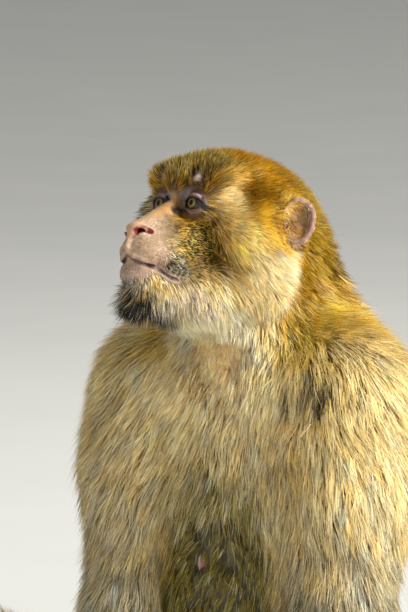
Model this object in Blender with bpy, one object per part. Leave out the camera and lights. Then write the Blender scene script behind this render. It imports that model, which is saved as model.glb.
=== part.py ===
"""A sitting Barbary macaque at life size, as a still museum model.

The animal faces -Y, its left side is +X and it sits on the floor at z = 0, with the
origin on the flat under its rump. The body is modelled whole, out to the
tips of its coat, as one distance field of rounded masses that flow into each other.
The field becomes one closed mesh, and thin cuts part it where the animal's parts meet.
"""

import math

import bmesh
import bpy
import numpy as np
import openvdb
from mathutils import Matrix, Vector

# Driving dimensions of the skeleton, in metres.
HUMERUS, FOREARM = 0.154, 0.161
FEMUR, TIBIA = 0.164, 0.152
EYE_RADIUS = 0.0103

# Where the joints of the left side are. The right side mirrors them.
PELVIS = Vector((0.0, 0.034, 0.085))
CHEST = Vector((0.0, 0.002, 0.262))
HEAD = Vector((0.006, -0.020, 0.437))
SHOULDER = Vector((0.068, -0.012, 0.328))
WRIST = Vector((0.046, -0.106, 0.034))
HIP = Vector((0.056, 0.018, 0.078))
ANKLE = Vector((0.112, -0.145, 0.036))

# How the head is held: chin up, turned to its right, tipped to its right.
HEAD_PITCH, HEAD_YAW, HEAD_ROLL = math.radians(15), math.radians(21), math.radians(6)
HAND_TURN, FOOT_TURN = math.radians(8), math.radians(24)

# The cut between head and neck slopes from the nape down to the throat.
NECK_CUT = Vector((-0.003, -0.022, 0.398))
NECK_CUT_NORMAL = Vector((-0.02, -0.62, 1.0)).normalized()

# Mesh resolution and the cuts.
VOXEL = 0.0025
HEAD_VOXEL = 0.0014
EAR_VOXEL = 0.001
CUTTER_VOXEL = 0.005
HEAD_TRIANGLES = 1950
BODY_TRIANGLES = 2500
EAR_TRIANGLES = 220
CUT = 0.0003
CUTTER_REACH = 0.012
CUTTER_TRIANGLES = 240
HEAD_BOX = ((-0.15, -0.20, 0.30), (0.15, 0.12, 0.56))
BODY_BOX = ((-0.28, -0.34, -0.03), (0.28, 0.16, 0.56))
EAR_BOX = 0.06
SIDES = {1: "left", -1: "right"}

FAR = 0.06
MM = 0.001

# Base colour, roughness and metallic value of each finish.
FINISHES = {
    "crown_fur": ((0.40, 0.24, 0.07), 0.75, 0.0),
    "mantle_fur": ((0.46, 0.31, 0.11), 0.75, 0.0),
    "limb_fur": ((0.52, 0.43, 0.27), 0.75, 0.0),
    "palm_skin": ((0.16, 0.11, 0.09), 0.55, 0.0),
    "ear_skin": ((0.42, 0.28, 0.25), 0.50, 0.0),
    "eye_amber": ((0.30, 0.17, 0.04), 0.08, 0.0),
}
FINISH_OF = {
    "head": "crown_fur",
    "neck": "mantle_fur",
    "trunk": "mantle_fur",
    "tail": "mantle_fur",
    "upper_arm": "mantle_fur",
    "forearm": "limb_fur",
    "thigh": "mantle_fur",
    "shin": "limb_fur",
    "hand": "palm_skin",
    "foot": "palm_skin",
    "ear": "ear_skin",
    "eye": "eye_amber",
}


# ---------------------------------------------------------------- distance field


class Mass:
    """One rounded mass of the body. Its coat makes it that much larger all round."""

    def __init__(self, centre, radii, coat, blend, turn=None, carve=False):
        self.centre = np.array(centre, float)
        self.radii = np.array(radii, float) + coat
        self.blend = blend
        self.turn = np.array(turn if turn is not None else Matrix.Identity(3), float)
        self.carve = carve

    def box(self):
        reach = np.abs(self.turn) @ self.radii + self.blend + 2 * VOXEL
        return self.centre - reach, self.centre + reach

    def distance(self, points):
        local = (points - self.centre) @ self.turn
        scaled = np.linalg.norm(local / self.radii, axis=1)
        slope = np.linalg.norm(local / self.radii**2, axis=1)
        return scaled * (scaled - 1.0) / np.maximum(slope, 1e-9)


class Limb(Mass):
    """A tapered tube with round ends, from one joint to the next."""

    def __init__(self, start, end, radii, coats, blend, carve=False):
        self.start = np.array(start, float)
        self.end = np.array(end, float)
        self.first, self.last = radii[0] + coats[0], radii[1] + coats[1]
        self.blend = blend
        self.carve = carve

    def box(self):
        reach = max(self.first, self.last) + self.blend + 2 * VOXEL
        low = np.minimum(self.start, self.end) - reach
        return low, np.maximum(self.start, self.end) + reach

    def distance(self, points):
        line = self.end - self.start
        along = np.clip((points - self.start) @ line / (line @ line), 0.0, 1.0)
        nearest = self.start + along[:, None] * line
        radius = self.first + along * (self.last - self.first)
        return np.linalg.norm(points - nearest, axis=1) - radius


class Slab(Mass):
    """A flat block with round edges, such as a palm or a sole."""

    def distance(self, points):
        edge = self.radii.min() * 0.95
        local = np.abs((points - self.centre) @ self.turn) - (self.radii - edge)
        outside = np.linalg.norm(np.maximum(local, 0.0), axis=1)
        return outside + np.minimum(local.max(axis=1), 0.0) - edge


def joined(field, distance, blend):
    """The smooth union of two distance fields."""
    near = np.maximum(blend - np.abs(field - distance), 0.0) / blend
    return np.minimum(field, distance) - near * near * blend / 4


def carved(field, distance, blend):
    """The field with the other shape taken out of it, with a rounded rim."""
    return -joined(-field, distance, blend)


def sampled(masses, low, high, voxel):
    """The masses' joint field on a grid. Each one is worked out only where it reaches."""
    axes = [np.arange(a, b + voxel, voxel) for a, b in zip(low, high)]
    field = np.full([len(axis) for axis in axes], FAR, np.float32)
    for mass in masses:
        window, places = [], []
        for axis, start, end in zip(axes, *mass.box()):
            first, last = np.searchsorted(axis, (start, end))
            window.append(slice(first, last))
            places.append(axis[first:last])
        if not all(len(place) for place in places):
            continue
        grid = np.stack(np.meshgrid(*places, indexing="ij"), axis=-1)
        distance = mass.distance(grid.reshape(-1, 3)).reshape(grid.shape[:3])
        mix = carved if mass.carve else joined
        field[tuple(window)] = mix(field[tuple(window)], distance, mass.blend)
    return field


def surface(name, field, low, voxel):
    """An object whose mesh is the closed surface where the field is zero."""
    grid = openvdb.FloatGrid()
    grid.copyFromArray(field.astype(np.float32))
    points, quads = grid.convertToQuads(isovalue=0.0)
    mesh = bpy.data.meshes.new(name)
    mesh.from_pydata((np.array(low) + points * voxel).tolist(), [], quads.tolist())
    return linked(name, mesh)


def linked(name, mesh):
    obj = bpy.data.objects.new(name, mesh)
    bpy.context.scene.collection.objects.link(obj)
    return obj


# ------------------------------------------------------------------------- pose


def mirrored(point, side):
    return Vector((point[0] * side, point[1], point[2]))


def bent(start, end, first, second, towards):
    """The middle joint of two bones of these lengths, bent towards a direction."""
    line = end - start
    along = (first**2 - second**2 + line.length_squared) / (2 * line.length)
    out = math.sqrt(max(first**2 - along**2, 0.0))
    unit = line.normalized()
    side = (towards - towards.dot(unit) * unit).normalized()
    return start + unit * along + side * out


def elbow(side):
    towards = Vector((side * 0.6, 0.8, 0.0))
    return bent(mirrored(SHOULDER, side), mirrored(WRIST, side), HUMERUS, FOREARM, towards)


def knee(side):
    towards = Vector((side * 1.0, -0.05, 0.70))
    return bent(mirrored(HIP, side), mirrored(ANKLE, side), FEMUR, TIBIA, towards)


class Place:
    """A local frame: +X left, +Y back, +Z up, in millimetres."""

    def __init__(self, origin, turn):
        self.origin = Vector(origin)
        self.turn = turn

    def point(self, x, y, z):
        return self.origin + self.turn @ (Vector((x, y, z)) * MM)

    def ball(self, centre, radii, coat=0.0, blend=8.0, tilt=0.0, yaw=0.0, carve=False):
        """tilt lowers the front of the ball and yaw turns it about its own upright, in degrees."""
        own = Matrix.Rotation(math.radians(yaw), 3, "Z")
        own = own @ Matrix.Rotation(math.radians(tilt), 3, "X")
        size = [r * MM for r in radii]
        return Mass(self.point(*centre), size, coat * MM, blend * MM, self.turn @ own, carve)

    def slab(self, centre, radii, coat=0.0, blend=8.0):
        size = [r * MM for r in radii]
        return Slab(self.point(*centre), size, coat * MM, blend * MM, self.turn)

    def tube(self, start, end, radii, coats=(0.0, 0.0), blend=8.0, carve=False):
        sizes = [r * MM for r in radii]
        depths = [c * MM for c in coats]
        return Limb(self.point(*start), self.point(*end), sizes, depths, blend * MM, carve)


def head_place():
    turn = Matrix.Rotation(-HEAD_YAW, 3, "Z")
    turn = turn @ Matrix.Rotation(-HEAD_PITCH, 3, "X")
    turn = turn @ Matrix.Rotation(-HEAD_ROLL, 3, "Y")
    return Place(HEAD, turn)


def body_place():
    return Place((0, 0, 0), Matrix.Identity(3))


# ------------------------------------------------------------------ body masses


def trunk_masses():
    body = body_place()
    return [
        body.ball(PELVIS / MM, (74, 72, 80), coat=16),
        body.ball((0, 14, 160), (72, 66, 92), coat=12, blend=40),
        body.ball(CHEST / MM, (70, 64, 100), coat=15, blend=40),
        body.ball((0, 24, 318), (72, 46, 46), coat=23, blend=40, tilt=-15),
        body.slab((0, 16, 18), (52, 44, 20), coat=2, blend=30),
    ]


def neck_masses():
    """The nape rises to the head and the throat hangs in front of it."""
    body = body_place()
    return [
        body.tube((0, 14, 338), (2, -2, 405), (44, 36), (22, 22), blend=40),
        body.tube((-2, -8, 344), (-4, -20, 388), (38, 34), (15, 14), blend=25),
    ]


def tail_masses():
    """All that this species has of a tail: a stub under the fur of the rump."""
    return [body_place().tube((0, 104, 84), (0, 124, 78), (7, 5), (9, 7), blend=14)]


def arm_masses(side):
    shoulder, wrist, bend = mirrored(SHOULDER, side), mirrored(WRIST, side), elbow(side)
    above_wrist = bend.lerp(wrist, 0.30)
    return [
        Limb(shoulder, shoulder.lerp(bend, 0.35), (0.034, 0.032), (0.021, 0.020), 0.035),
        Limb(shoulder.lerp(bend, 0.3), bend, (0.031, 0.022), (0.020, 0.016), 0.02),
        Limb(bend, above_wrist, (0.022, 0.023), (0.016, 0.014), 0.02),
        Limb(above_wrist, wrist, (0.023, 0.014), (0.014, 0.006), 0.02),
    ]


def leg_masses(side):
    hip, ankle, bend = mirrored(HIP, side), mirrored(ANKLE, side), knee(side)
    calf = bend.lerp(ankle, 0.35)
    return [
        Limb(hip, bend, (0.052, 0.031), (0.014, 0.014), 0.03),
        Limb(bend, calf, (0.029, 0.028), (0.014, 0.012), 0.02),
        Limb(calf, ankle, (0.028, 0.016), (0.012, 0.006), 0.02),
    ]


def hand_place(side):
    wrist = mirrored(WRIST, side)
    turn = Matrix.Rotation(side * HAND_TURN, 3, "Z")
    return Place((wrist.x, wrist.y, 0.0), turn @ Matrix.Diagonal((side, 1, 1)).to_3x3())


def hand_masses(side):
    """The palm on the floor, four fingers forward and the thumb inward."""
    hand = hand_place(side)
    masses = [
        hand.tube((0, 2, WRIST.z / MM), (0, -14, 15), (14, 12), (5, 3), blend=10),
        hand.slab((0, -26, 9), (22, 24, 12), coat=2, blend=14),
        hand.tube((-16, -8, 9), (-30, -24, 7), (9, 7), (1, 0), blend=8),
        hand.tube((-30, -24, 7), (-37, -36, 6), (7, 6), blend=3),
    ]
    lengths = (38, 44, 41, 32)
    for number, length in enumerate(lengths):
        base_x = -15.5 + 10.5 * number
        spread = math.radians(-7 + 6 * number)
        tip = (base_x + length * math.sin(spread), -44 - length * math.cos(spread), 5)
        middle = [(a + b) / 2 for a, b in zip((base_x, -44, 10), tip)]
        middle[2] = 11
        masses.append(hand.tube((base_x, -40, 9), middle, (6.8, 6.2), (0.6, 0.3), blend=3))
        masses.append(hand.tube(middle, tip, (6.2, 5.0), (0.3, 0), blend=3))
    return masses


def foot_place(side):
    ankle = mirrored(ANKLE, side)
    turn = Matrix.Rotation(side * FOOT_TURN, 3, "Z")
    return Place((ankle.x, ankle.y, 0.0), turn @ Matrix.Diagonal((side, 1, 1)).to_3x3())


def foot_masses(side):
    """The heel behind the ankle, the sole, four toes forward and the great toe inward."""
    foot = foot_place(side)
    masses = [
        foot.tube((0, 0, ANKLE.z / MM), (0, 14, 15), (16, 15), (6, 4), blend=10),
        foot.tube((0, 0, ANKLE.z / MM - 6), (1, -50, 12), (16, 15), (6, 3), blend=14),
        foot.slab((1, -38, 9), (22, 40, 12), coat=2, blend=14),
        foot.tube((-14, -22, 9), (-33, -52, 8), (10, 8), (1, 0), blend=8),
        foot.tube((-33, -52, 8), (-40, -66, 7), (8, 7), blend=3),
    ]
    lengths = (36, 41, 39, 33)
    for number, length in enumerate(lengths):
        base_x = -14 + 10.5 * number
        spread = math.radians(-4 + 5 * number)
        base_y = -72 + 2.5 * number
        tip = (base_x + length * math.sin(spread), base_y - length * math.cos(spread), 6)
        middle = [(a + b) / 2 for a, b in zip((base_x, base_y, 10), tip)]
        middle[2] = 12
        masses.append(foot.tube((base_x, base_y + 6, 9), middle, (7.4, 6.8), (1, 0.3), blend=3))
        masses.append(foot.tube(middle, tip, (6.8, 5.8), (0.3, 0), blend=3))
    return masses


# ------------------------------------------------------------------ head masses

EYE = (16.0, -60.0, 5.0)
EAR = (49.0, -9.0, 4.0)
MOUTH = ((0, -105, -36.5), (11, -101, -37), (18, -90, -39.5), (21, -76, -44))


def head_masses():
    head = head_place()
    masses = [
        head.ball((0, -14, 10), (40, 43, 30), coat=9),
        head.ball((0, 12, -4), (34, 30, 24), coat=9, blend=16),
        head.ball((0, -36, 24), (30, 28, 15), coat=8, blend=12),
        head.ball((0, -44, -6), (32, 26, 25), coat=2, blend=14),
        head.ball((0, -72, -22), (22, 29, 17), coat=1, blend=12, tilt=26),
        head.ball((0, -86, -31), (20, 17, 10.5), coat=1, blend=7),
        head.ball((0, -82, -46), (17, 21, 8), coat=1.5, blend=4),
        head.tube((0, -64, 5), (0, -96, -17), (7.0, 6.5), (1, 0.5), blend=9),
        head.ball((0, -40, -38), (26, 36, 16), coat=8, blend=16),
        head.ball((0, -84, -57), (12, 18, 7), coat=6, blend=6, tilt=24),
        head.ball((0, -40, -54), (16, 28, 10), coat=12, blend=14),
    ]
    for side in (1, -1):
        masses += [
            head.tube((0, -66, 16), (side * 25, -58, 15), (6.5, 6.0), (2, 3), blend=7),
            head.tube((side * 25, -58, 13), (side * 31, -46, -8), (5.5, 8), (3, 4), blend=8),
            head.ball((side * 20, -56, 24), (14, 11, 6), coat=8, blend=8),
            head.ball((side * 31, -26, -12), (15, 25, 22), coat=14, blend=10),
            head.tube((side * 9, -70, -47), (side * 28, -16, -36), (10, 14), (5, 14), blend=12),
        ]
    return masses


def face_carvings():
    head = head_place()
    carvings = []
    for side in (1, -1):
        line = [(x * side, y, z) for x, y, z in MOUTH]
        for start, end in zip(line, line[1:]):
            carvings.append(head.tube(start, end, (1.4, 1.4), blend=2.5, carve=True))
        eye_x, eye_y, eye_z = EYE
        carvings += [
            head.ball((side * 18, -71, 4), (12, 8, 8.5), blend=9, carve=True),
            head.ball((side * eye_x, eye_y, eye_z), (11.8, 11.8, 11.8), blend=3),
            head.ball((side * 15.5, -72, 4.6), (8.8, 9, 4.1), blend=1.5, carve=True),
            head.ball((side * 5.8, -100, -20), (3.2, 5, 2.4), blend=1.5, yaw=side * 25, carve=True),
            head.ball((side * 59, -14, 4), (11, 10.5, 14.5), blend=6, carve=True),
        ]
    return carvings


def ear_masses(side):
    """A thin cupped shell that leans back off the side of the head."""
    head = head_place()
    x, y, z = EAR
    tilt, yaw = -10, side * -30
    return [
        head.ball((side * x, y, z), (9, 12, 16), blend=1, tilt=tilt, yaw=yaw),
        head.ball((side * (x + 5.5), y - 3.5, z), (9, 10, 13.5), blend=3, tilt=tilt, yaw=yaw, carve=True),
    ]


# ---------------------------------------------------------------------- cutting


def in_scene(name, mesh):
    """An object that shows a bmesh, which is freed."""
    data = bpy.data.meshes.new(name)
    mesh.to_mesh(data)
    mesh.free()
    return linked(name, data)


def applied(obj):
    """Makes what the modifiers show the object's own mesh."""
    graph = bpy.context.evaluated_depsgraph_get()
    mesh = bpy.data.meshes.new_from_object(obj.evaluated_get(graph))
    obj.modifiers.clear()
    obj.data = mesh
    return obj


def thinned(obj, triangles):
    """The object with its mesh brought down to about this many triangles."""
    obj.data.calc_loop_triangles()
    modifier = obj.modifiers.new("thin", "DECIMATE")
    modifier.ratio = min(1.0, triangles / len(obj.data.loop_triangles))
    return applied(obj)


def sliced(obj, point, normal):
    """Keeps what lies on the normal's side of a plane and closes the cut with a flat."""
    mesh = bmesh.new()
    mesh.from_mesh(obj.data)
    cut = bmesh.ops.bisect_plane(
        mesh,
        geom=mesh.verts[:] + mesh.edges[:] + mesh.faces[:],
        plane_co=point,
        plane_no=normal,
        clear_inner=True,
    )
    rims = [edge for edge in cut["geom_cut"] if isinstance(edge, bmesh.types.BMEdge)]
    bmesh.ops.holes_fill(mesh, edges=rims)
    bmesh.ops.triangulate(mesh, faces=mesh.faces)
    mesh.to_mesh(obj.data)
    mesh.free()
    return obj


def split(obj, point, normal, name):
    """Cuts an object in two by a plane. What is beyond the plane takes the name."""
    beyond = linked(name, obj.data.copy())
    sliced(beyond, point, normal)
    sliced(obj, point - normal.normalized() * CUT, -normal)
    return beyond


def grown(obj, distance):
    """A hidden copy of the object, larger all round by a distance."""
    mesh = bmesh.new()
    mesh.from_mesh(obj.data)
    mesh.normal_update()
    for vertex in mesh.verts:
        vertex.co += vertex.normal * distance
    return hidden(in_scene(obj.name + "_room", mesh))


def hidden(obj):
    obj.hide_render = True
    obj.display_type = "WIRE"
    return obj


def boolean(obj, cutter, operation):
    modifier = obj.modifiers.new("cut", "BOOLEAN")
    modifier.operation = operation
    modifier.solver = "EXACT"
    modifier.object = cutter
    return applied(obj)


def largest(obj):
    """Drops the crumbs that a cut along a crease can leave beside the main piece."""
    mesh = bmesh.new()
    mesh.from_mesh(obj.data)
    left, pieces = set(mesh.verts), []
    while left:
        piece, edge = set(), [left.pop()]
        while edge:
            vertex = edge.pop()
            piece.add(vertex)
            around = {link.other_vert(vertex) for link in vertex.link_edges} & left
            left -= around
            edge += around
        pieces.append(piece)
    main = max(pieces, key=len)
    crumbs = [vertex for vertex in mesh.verts if vertex not in main]
    bmesh.ops.delete(mesh, geom=crumbs, context="VERTS")
    mesh.to_mesh(obj.data)
    mesh.free()
    return obj


def parted(body, own, rest, name):
    """Takes off the body the limb made by its own masses, along the crease with the rest."""
    corners = np.array([mass.box() for mass in own])
    low = corners[:, 0].min(axis=0) - CUTTER_REACH
    high = corners[:, 1].max(axis=0) + CUTTER_REACH
    nearer = sampled(own, low, high, CUTTER_VOXEL)
    other = sampled(rest, low, high, CUTTER_VOXEL)
    field = np.maximum((nearer - other) / 2, nearer - CUTTER_REACH)
    cutter = hidden(surface("cutter_" + name, field, low, CUTTER_VOXEL))
    thinned(cutter, CUTTER_TRIANGLES)
    room = grown(cutter, CUT)
    limb = boolean(linked(name, body.data.copy()), cutter, "INTERSECT")
    largest(boolean(body, room, "DIFFERENCE"))
    return largest(limb)


def ball_object(name, centre, radius):
    mesh = bmesh.new()
    bmesh.ops.create_uvsphere(mesh, u_segments=14, v_segments=10, radius=radius)
    aim = (head_place().turn @ Vector((0, -1, 0))).to_track_quat("Z", "Y").to_matrix()
    mesh.transform(Matrix.Translation(centre) @ aim.to_4x4())
    return in_scene(name, mesh)


def finish(name):
    """The Principled material of one finish."""
    colour, roughness, metallic = FINISHES[name]
    material = bpy.data.materials.new(name)
    material.use_nodes = True
    shader = material.node_tree.nodes["Principled BSDF"]
    shader.inputs["Base Color"].default_value = (*colour, 1.0)
    shader.inputs["Roughness"].default_value = roughness
    shader.inputs["Metallic"].default_value = metallic
    return material


def finished():
    """Gives each shown object the material of its part, whatever its side."""
    for obj in bpy.data.objects:
        if obj.hide_render:
            continue
        part = obj.name.removesuffix("_left").removesuffix("_right")
        obj.data.materials.clear()
        obj.data.materials.append(finish(FINISH_OF[part]))


def limbs(body, trunk, arms, legs):
    """Parts the arms and legs from the body, and each of them at its joints."""
    for side, name in SIDES.items():
        arm = parted(body, arms[side], trunk + legs[side], "upper_arm_" + name)
        leg = parted(body, legs[side], trunk + arms[side], "thigh_" + name)
        shoulder, wrist, bend = mirrored(SHOULDER, side), mirrored(WRIST, side), elbow(side)
        forearm = split(arm, bend, wrist - shoulder, "forearm_" + name)
        split(forearm, wrist.lerp(bend, 0.05), wrist - bend, "hand_" + name)
        hip, ankle, fold = mirrored(HIP, side), mirrored(ANKLE, side), knee(side)
        across = (ankle - fold).normalized() - (hip - fold).normalized()
        shin = split(leg, fold, across, "shin_" + name)
        split(shin, ankle.lerp(fold, 0.06), Vector((-0.10 * side, -0.25, -0.96)), "foot_" + name)


def eyes_and_ears(head):
    """Sets each eye in a socket of its own and each ear against the side of the head."""
    place = head_place()
    for side, name in SIDES.items():
        centre = place.point(EYE[0] * side, EYE[1], EYE[2])
        socket = hidden(ball_object("socket_" + name, centre, EYE_RADIUS + CUT))
        boolean(head, socket, "DIFFERENCE")
        ball_object("eye_" + name, centre, EYE_RADIUS)
    for side, name in SIDES.items():
        low = np.array(place.point(EAR[0] * side, EAR[1], EAR[2])) - EAR_BOX / 2
        field = sampled(ear_masses(side), low, low + EAR_BOX, EAR_VOXEL)
        ear = thinned(surface("ear_" + name, field, low, EAR_VOXEL), EAR_TRIANGLES)
        largest(boolean(ear, grown(head, CUT), "DIFFERENCE"))


def main():
    for obj in list(bpy.data.objects):
        bpy.data.objects.remove(obj)
    trunk, neck, tail = trunk_masses(), neck_masses(), tail_masses()
    arms = {side: arm_masses(side) + hand_masses(side) for side in SIDES}
    legs = {side: leg_masses(side) + foot_masses(side) for side in SIDES}
    masses = trunk + neck + tail
    for side in SIDES:
        masses += arms[side] + legs[side]
    masses += head_masses() + face_carvings()

    head = surface("head", sampled(masses, *HEAD_BOX, HEAD_VOXEL), HEAD_BOX[0], HEAD_VOXEL)
    thinned(sliced(head, NECK_CUT, NECK_CUT_NORMAL), HEAD_TRIANGLES)
    body = surface("trunk", sampled(masses, *BODY_BOX, VOXEL), BODY_BOX[0], VOXEL)
    sliced(body, NECK_CUT - NECK_CUT_NORMAL * CUT, -NECK_CUT_NORMAL)
    sliced(body, Vector((0, 0, 0)), Vector((0, 0, 1)))
    thinned(body, BODY_TRIANGLES)

    limbs(body, trunk, arms, legs)
    parted(body, neck, trunk, "neck")
    parted(body, tail, trunk, "tail")
    eyes_and_ears(head)
    finished()


main()
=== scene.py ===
"""The sitting macaque's skin, coat, eyes and nails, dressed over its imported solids.

The flesh is one distance field of rounded masses, so the skin has no seam. The coat is
combed over it in tufts: each one follows the lie of the coat where it grows, and rises
off the skin to the outline that the solids have. All places are in the solids' own frame:
the animal faces -Y, its left side is +X and it sits on the floor at z = 0.
"""

import math

import bmesh
import bpy
import numpy as np
import openvdb
from mathutils import Matrix, Vector
from mathutils.kdtree import KDTree


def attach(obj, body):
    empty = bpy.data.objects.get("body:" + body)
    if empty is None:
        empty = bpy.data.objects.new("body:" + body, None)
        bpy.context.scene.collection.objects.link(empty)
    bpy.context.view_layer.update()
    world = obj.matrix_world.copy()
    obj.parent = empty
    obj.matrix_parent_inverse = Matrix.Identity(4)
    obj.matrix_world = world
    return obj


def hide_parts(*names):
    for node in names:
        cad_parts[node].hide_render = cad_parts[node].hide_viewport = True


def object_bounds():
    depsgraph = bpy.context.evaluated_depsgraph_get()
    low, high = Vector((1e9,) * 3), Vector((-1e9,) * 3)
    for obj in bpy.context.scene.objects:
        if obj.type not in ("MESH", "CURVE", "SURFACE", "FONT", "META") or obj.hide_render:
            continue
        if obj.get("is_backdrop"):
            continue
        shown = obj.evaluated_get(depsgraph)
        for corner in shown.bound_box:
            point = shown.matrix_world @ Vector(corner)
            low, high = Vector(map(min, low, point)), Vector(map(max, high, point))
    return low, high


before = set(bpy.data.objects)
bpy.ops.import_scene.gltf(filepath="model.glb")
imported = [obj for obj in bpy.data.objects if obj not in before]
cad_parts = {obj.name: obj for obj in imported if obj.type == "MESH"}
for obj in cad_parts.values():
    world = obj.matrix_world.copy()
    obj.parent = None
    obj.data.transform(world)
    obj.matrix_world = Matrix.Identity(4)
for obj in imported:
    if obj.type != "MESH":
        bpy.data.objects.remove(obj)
solid_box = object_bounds()

MM = 0.001
# What the distance field says where no flesh is near, in metres.
FAR = 0.06
SIDES = {1: "left", -1: "right"}

# ------------------------------------------------------------ the animal's build

# Bones and joints are in metres. What lies in the frame of the head, a hand or a foot is
# in millimetres, as is all that is given to a Place.
HUMERUS, FOREARM = 0.154, 0.161
FEMUR, TIBIA = 0.164, 0.152

PELVIS = Vector((0.0, 0.034, 0.085))
CHEST = Vector((0.0, 0.002, 0.262))
HEAD = Vector((0.006, -0.020, 0.437))
SHOULDER = Vector((0.068, -0.012, 0.328))
WRIST = Vector((0.046, -0.106, 0.034))
HIP = Vector((0.056, 0.018, 0.078))
ANKLE = Vector((0.112, -0.145, 0.036))

HEAD_PITCH, HEAD_YAW, HEAD_ROLL = math.radians(15), math.radians(21), math.radians(6)
HAND_TURN, FOOT_TURN = math.radians(8), math.radians(24)

# Where the skin's patches of different fineness meet, and how fine each one is.
NECK_SEAM = Vector((-0.003, -0.022, 0.398))
NECK_SEAM_NORMAL = Vector((-0.02, -0.62, 1.0)).normalized()
LOW_SEAM = Vector((0.0, 0.0, 0.045))
UP = Vector((0.0, 0.0, 1.0))
SEAM_GAP = 0.0004
HEAD_VOXEL, BODY_VOXEL, LOW_VOXEL = 0.0015, 0.0050, 0.0026


class Mass:
    """One rounded mass of flesh, with the depth of the coat over it."""

    def __init__(self, centre, radii, coat, blend, turn=None, carve=False):
        self.centre = np.array(centre, float)
        self.radii = np.array(radii, float)
        self.coat = coat
        self.blend = blend
        self.turn = np.array(turn if turn is not None else Matrix.Identity(3), float)
        self.carve = carve

    def box(self, coated):
        reach = np.abs(self.turn) @ (self.radii + coated * self.coat) + self.blend + 0.005
        return self.centre - reach, self.centre + reach

    def distance(self, points, coated):
        radii = self.radii + coated * self.coat
        local = (points - self.centre) @ self.turn
        scaled = np.linalg.norm(local / radii, axis=1)
        slope = np.linalg.norm(local / radii**2, axis=1)
        return scaled * (scaled - 1.0) / np.maximum(slope, 1e-9)


class Limb(Mass):
    """A tapered tube with round ends, from one joint to the next."""

    def __init__(self, start, end, radii, coats, blend, carve=False):
        self.start = np.array(start, float)
        self.end = np.array(end, float)
        self.radii = radii
        self.coats = coats
        self.blend = blend
        self.carve = carve

    def sizes(self, coated):
        return [radius + coated * coat for radius, coat in zip(self.radii, self.coats)]

    def box(self, coated):
        reach = max(self.sizes(coated)) + self.blend + 0.005
        low = np.minimum(self.start, self.end) - reach
        return low, np.maximum(self.start, self.end) + reach

    def distance(self, points, coated):
        line = self.end - self.start
        along = np.clip((points - self.start) @ line / (line @ line), 0.0, 1.0)
        nearest = self.start + along[:, None] * line
        first, last = self.sizes(coated)
        return np.linalg.norm(points - nearest, axis=1) - first - along * (last - first)


class Slab(Mass):
    """A flat block with round edges, such as a palm or a sole."""

    def distance(self, points, coated):
        radii = self.radii + coated * self.coat
        edge = radii.min() * 0.95
        local = np.abs((points - self.centre) @ self.turn) - (radii - edge)
        outside = np.linalg.norm(np.maximum(local, 0.0), axis=1)
        return outside + np.minimum(local.max(axis=1), 0.0) - edge


class Place:
    """A local frame: +X left, +Y back, +Z up, in millimetres."""

    def __init__(self, origin, turn):
        self.origin = Vector(origin)
        self.turn = turn

    def point(self, x, y, z):
        return self.origin + self.turn @ (Vector((x, y, z)) * MM)

    def direction(self, x, y, z):
        return (self.turn @ Vector((x, y, z))).normalized()

    def local(self, points):
        return (points - np.array(self.origin)) @ np.array(self.turn) / MM

    def ball(self, centre, radii, coat=0.0, blend=8.0, tilt=0.0, yaw=0.0, carve=False):
        """tilt lowers the front of the ball and yaw turns it about its own upright."""
        own = Matrix.Rotation(math.radians(yaw), 3, "Z")
        own = own @ Matrix.Rotation(math.radians(tilt), 3, "X")
        size = [r * MM for r in radii]
        return Mass(self.point(*centre), size, coat * MM, blend * MM, self.turn @ own, carve)

    def slab(self, centre, radii, coat=0.0, blend=8.0):
        size = [r * MM for r in radii]
        return Slab(self.point(*centre), size, coat * MM, blend * MM, self.turn)

    def tube(self, start, end, radii, coats=(0.0, 0.0), blend=8.0, carve=False):
        sizes = [r * MM for r in radii]
        depths = [c * MM for c in coats]
        return Limb(self.point(*start), self.point(*end), sizes, depths, blend * MM, carve)

    def line(self, points, radius, blend, carve=False):
        """A run of thin tubes through the points."""
        pairs = zip(points, points[1:])
        return [self.tube(a, b, (radius, radius), blend=blend, carve=carve) for a, b in pairs]


def mirrored(point, side):
    return Vector((point[0] * side, point[1], point[2]))


def bent(start, end, first, second, towards):
    """The middle joint of two bones of these lengths, bent towards a direction."""
    line = end - start
    along = (first**2 - second**2 + line.length_squared) / (2 * line.length)
    out = math.sqrt(max(first**2 - along**2, 0.0))
    unit = line.normalized()
    side = (towards - towards.dot(unit) * unit).normalized()
    return start + unit * along + side * out


def elbow(side):
    towards = Vector((side * 0.6, 0.8, 0.0))
    return bent(mirrored(SHOULDER, side), mirrored(WRIST, side), HUMERUS, FOREARM, towards)


def knee(side):
    towards = Vector((side * 1.0, -0.05, 0.70))
    return bent(mirrored(HIP, side), mirrored(ANKLE, side), FEMUR, TIBIA, towards)


def head_place():
    turn = Matrix.Rotation(-HEAD_YAW, 3, "Z")
    turn = turn @ Matrix.Rotation(-HEAD_PITCH, 3, "X")
    turn = turn @ Matrix.Rotation(-HEAD_ROLL, 3, "Y")
    return Place(HEAD, turn)


def end_place(joint, turn, side):
    """The frame of a hand or foot, on the floor under its joint, mirrored for the right."""
    joint = mirrored(joint, side)
    turn = Matrix.Rotation(side * turn, 3, "Z")
    return Place((joint.x, joint.y, 0.0), turn @ Matrix.Diagonal((side, 1, 1)).to_3x3())


BODY = Place((0, 0, 0), Matrix.Identity(3))
SKULL = head_place()
HANDS = {side: end_place(WRIST, HAND_TURN, side) for side in SIDES}
FEET = {side: end_place(ANKLE, FOOT_TURN, side) for side in SIDES}


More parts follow.
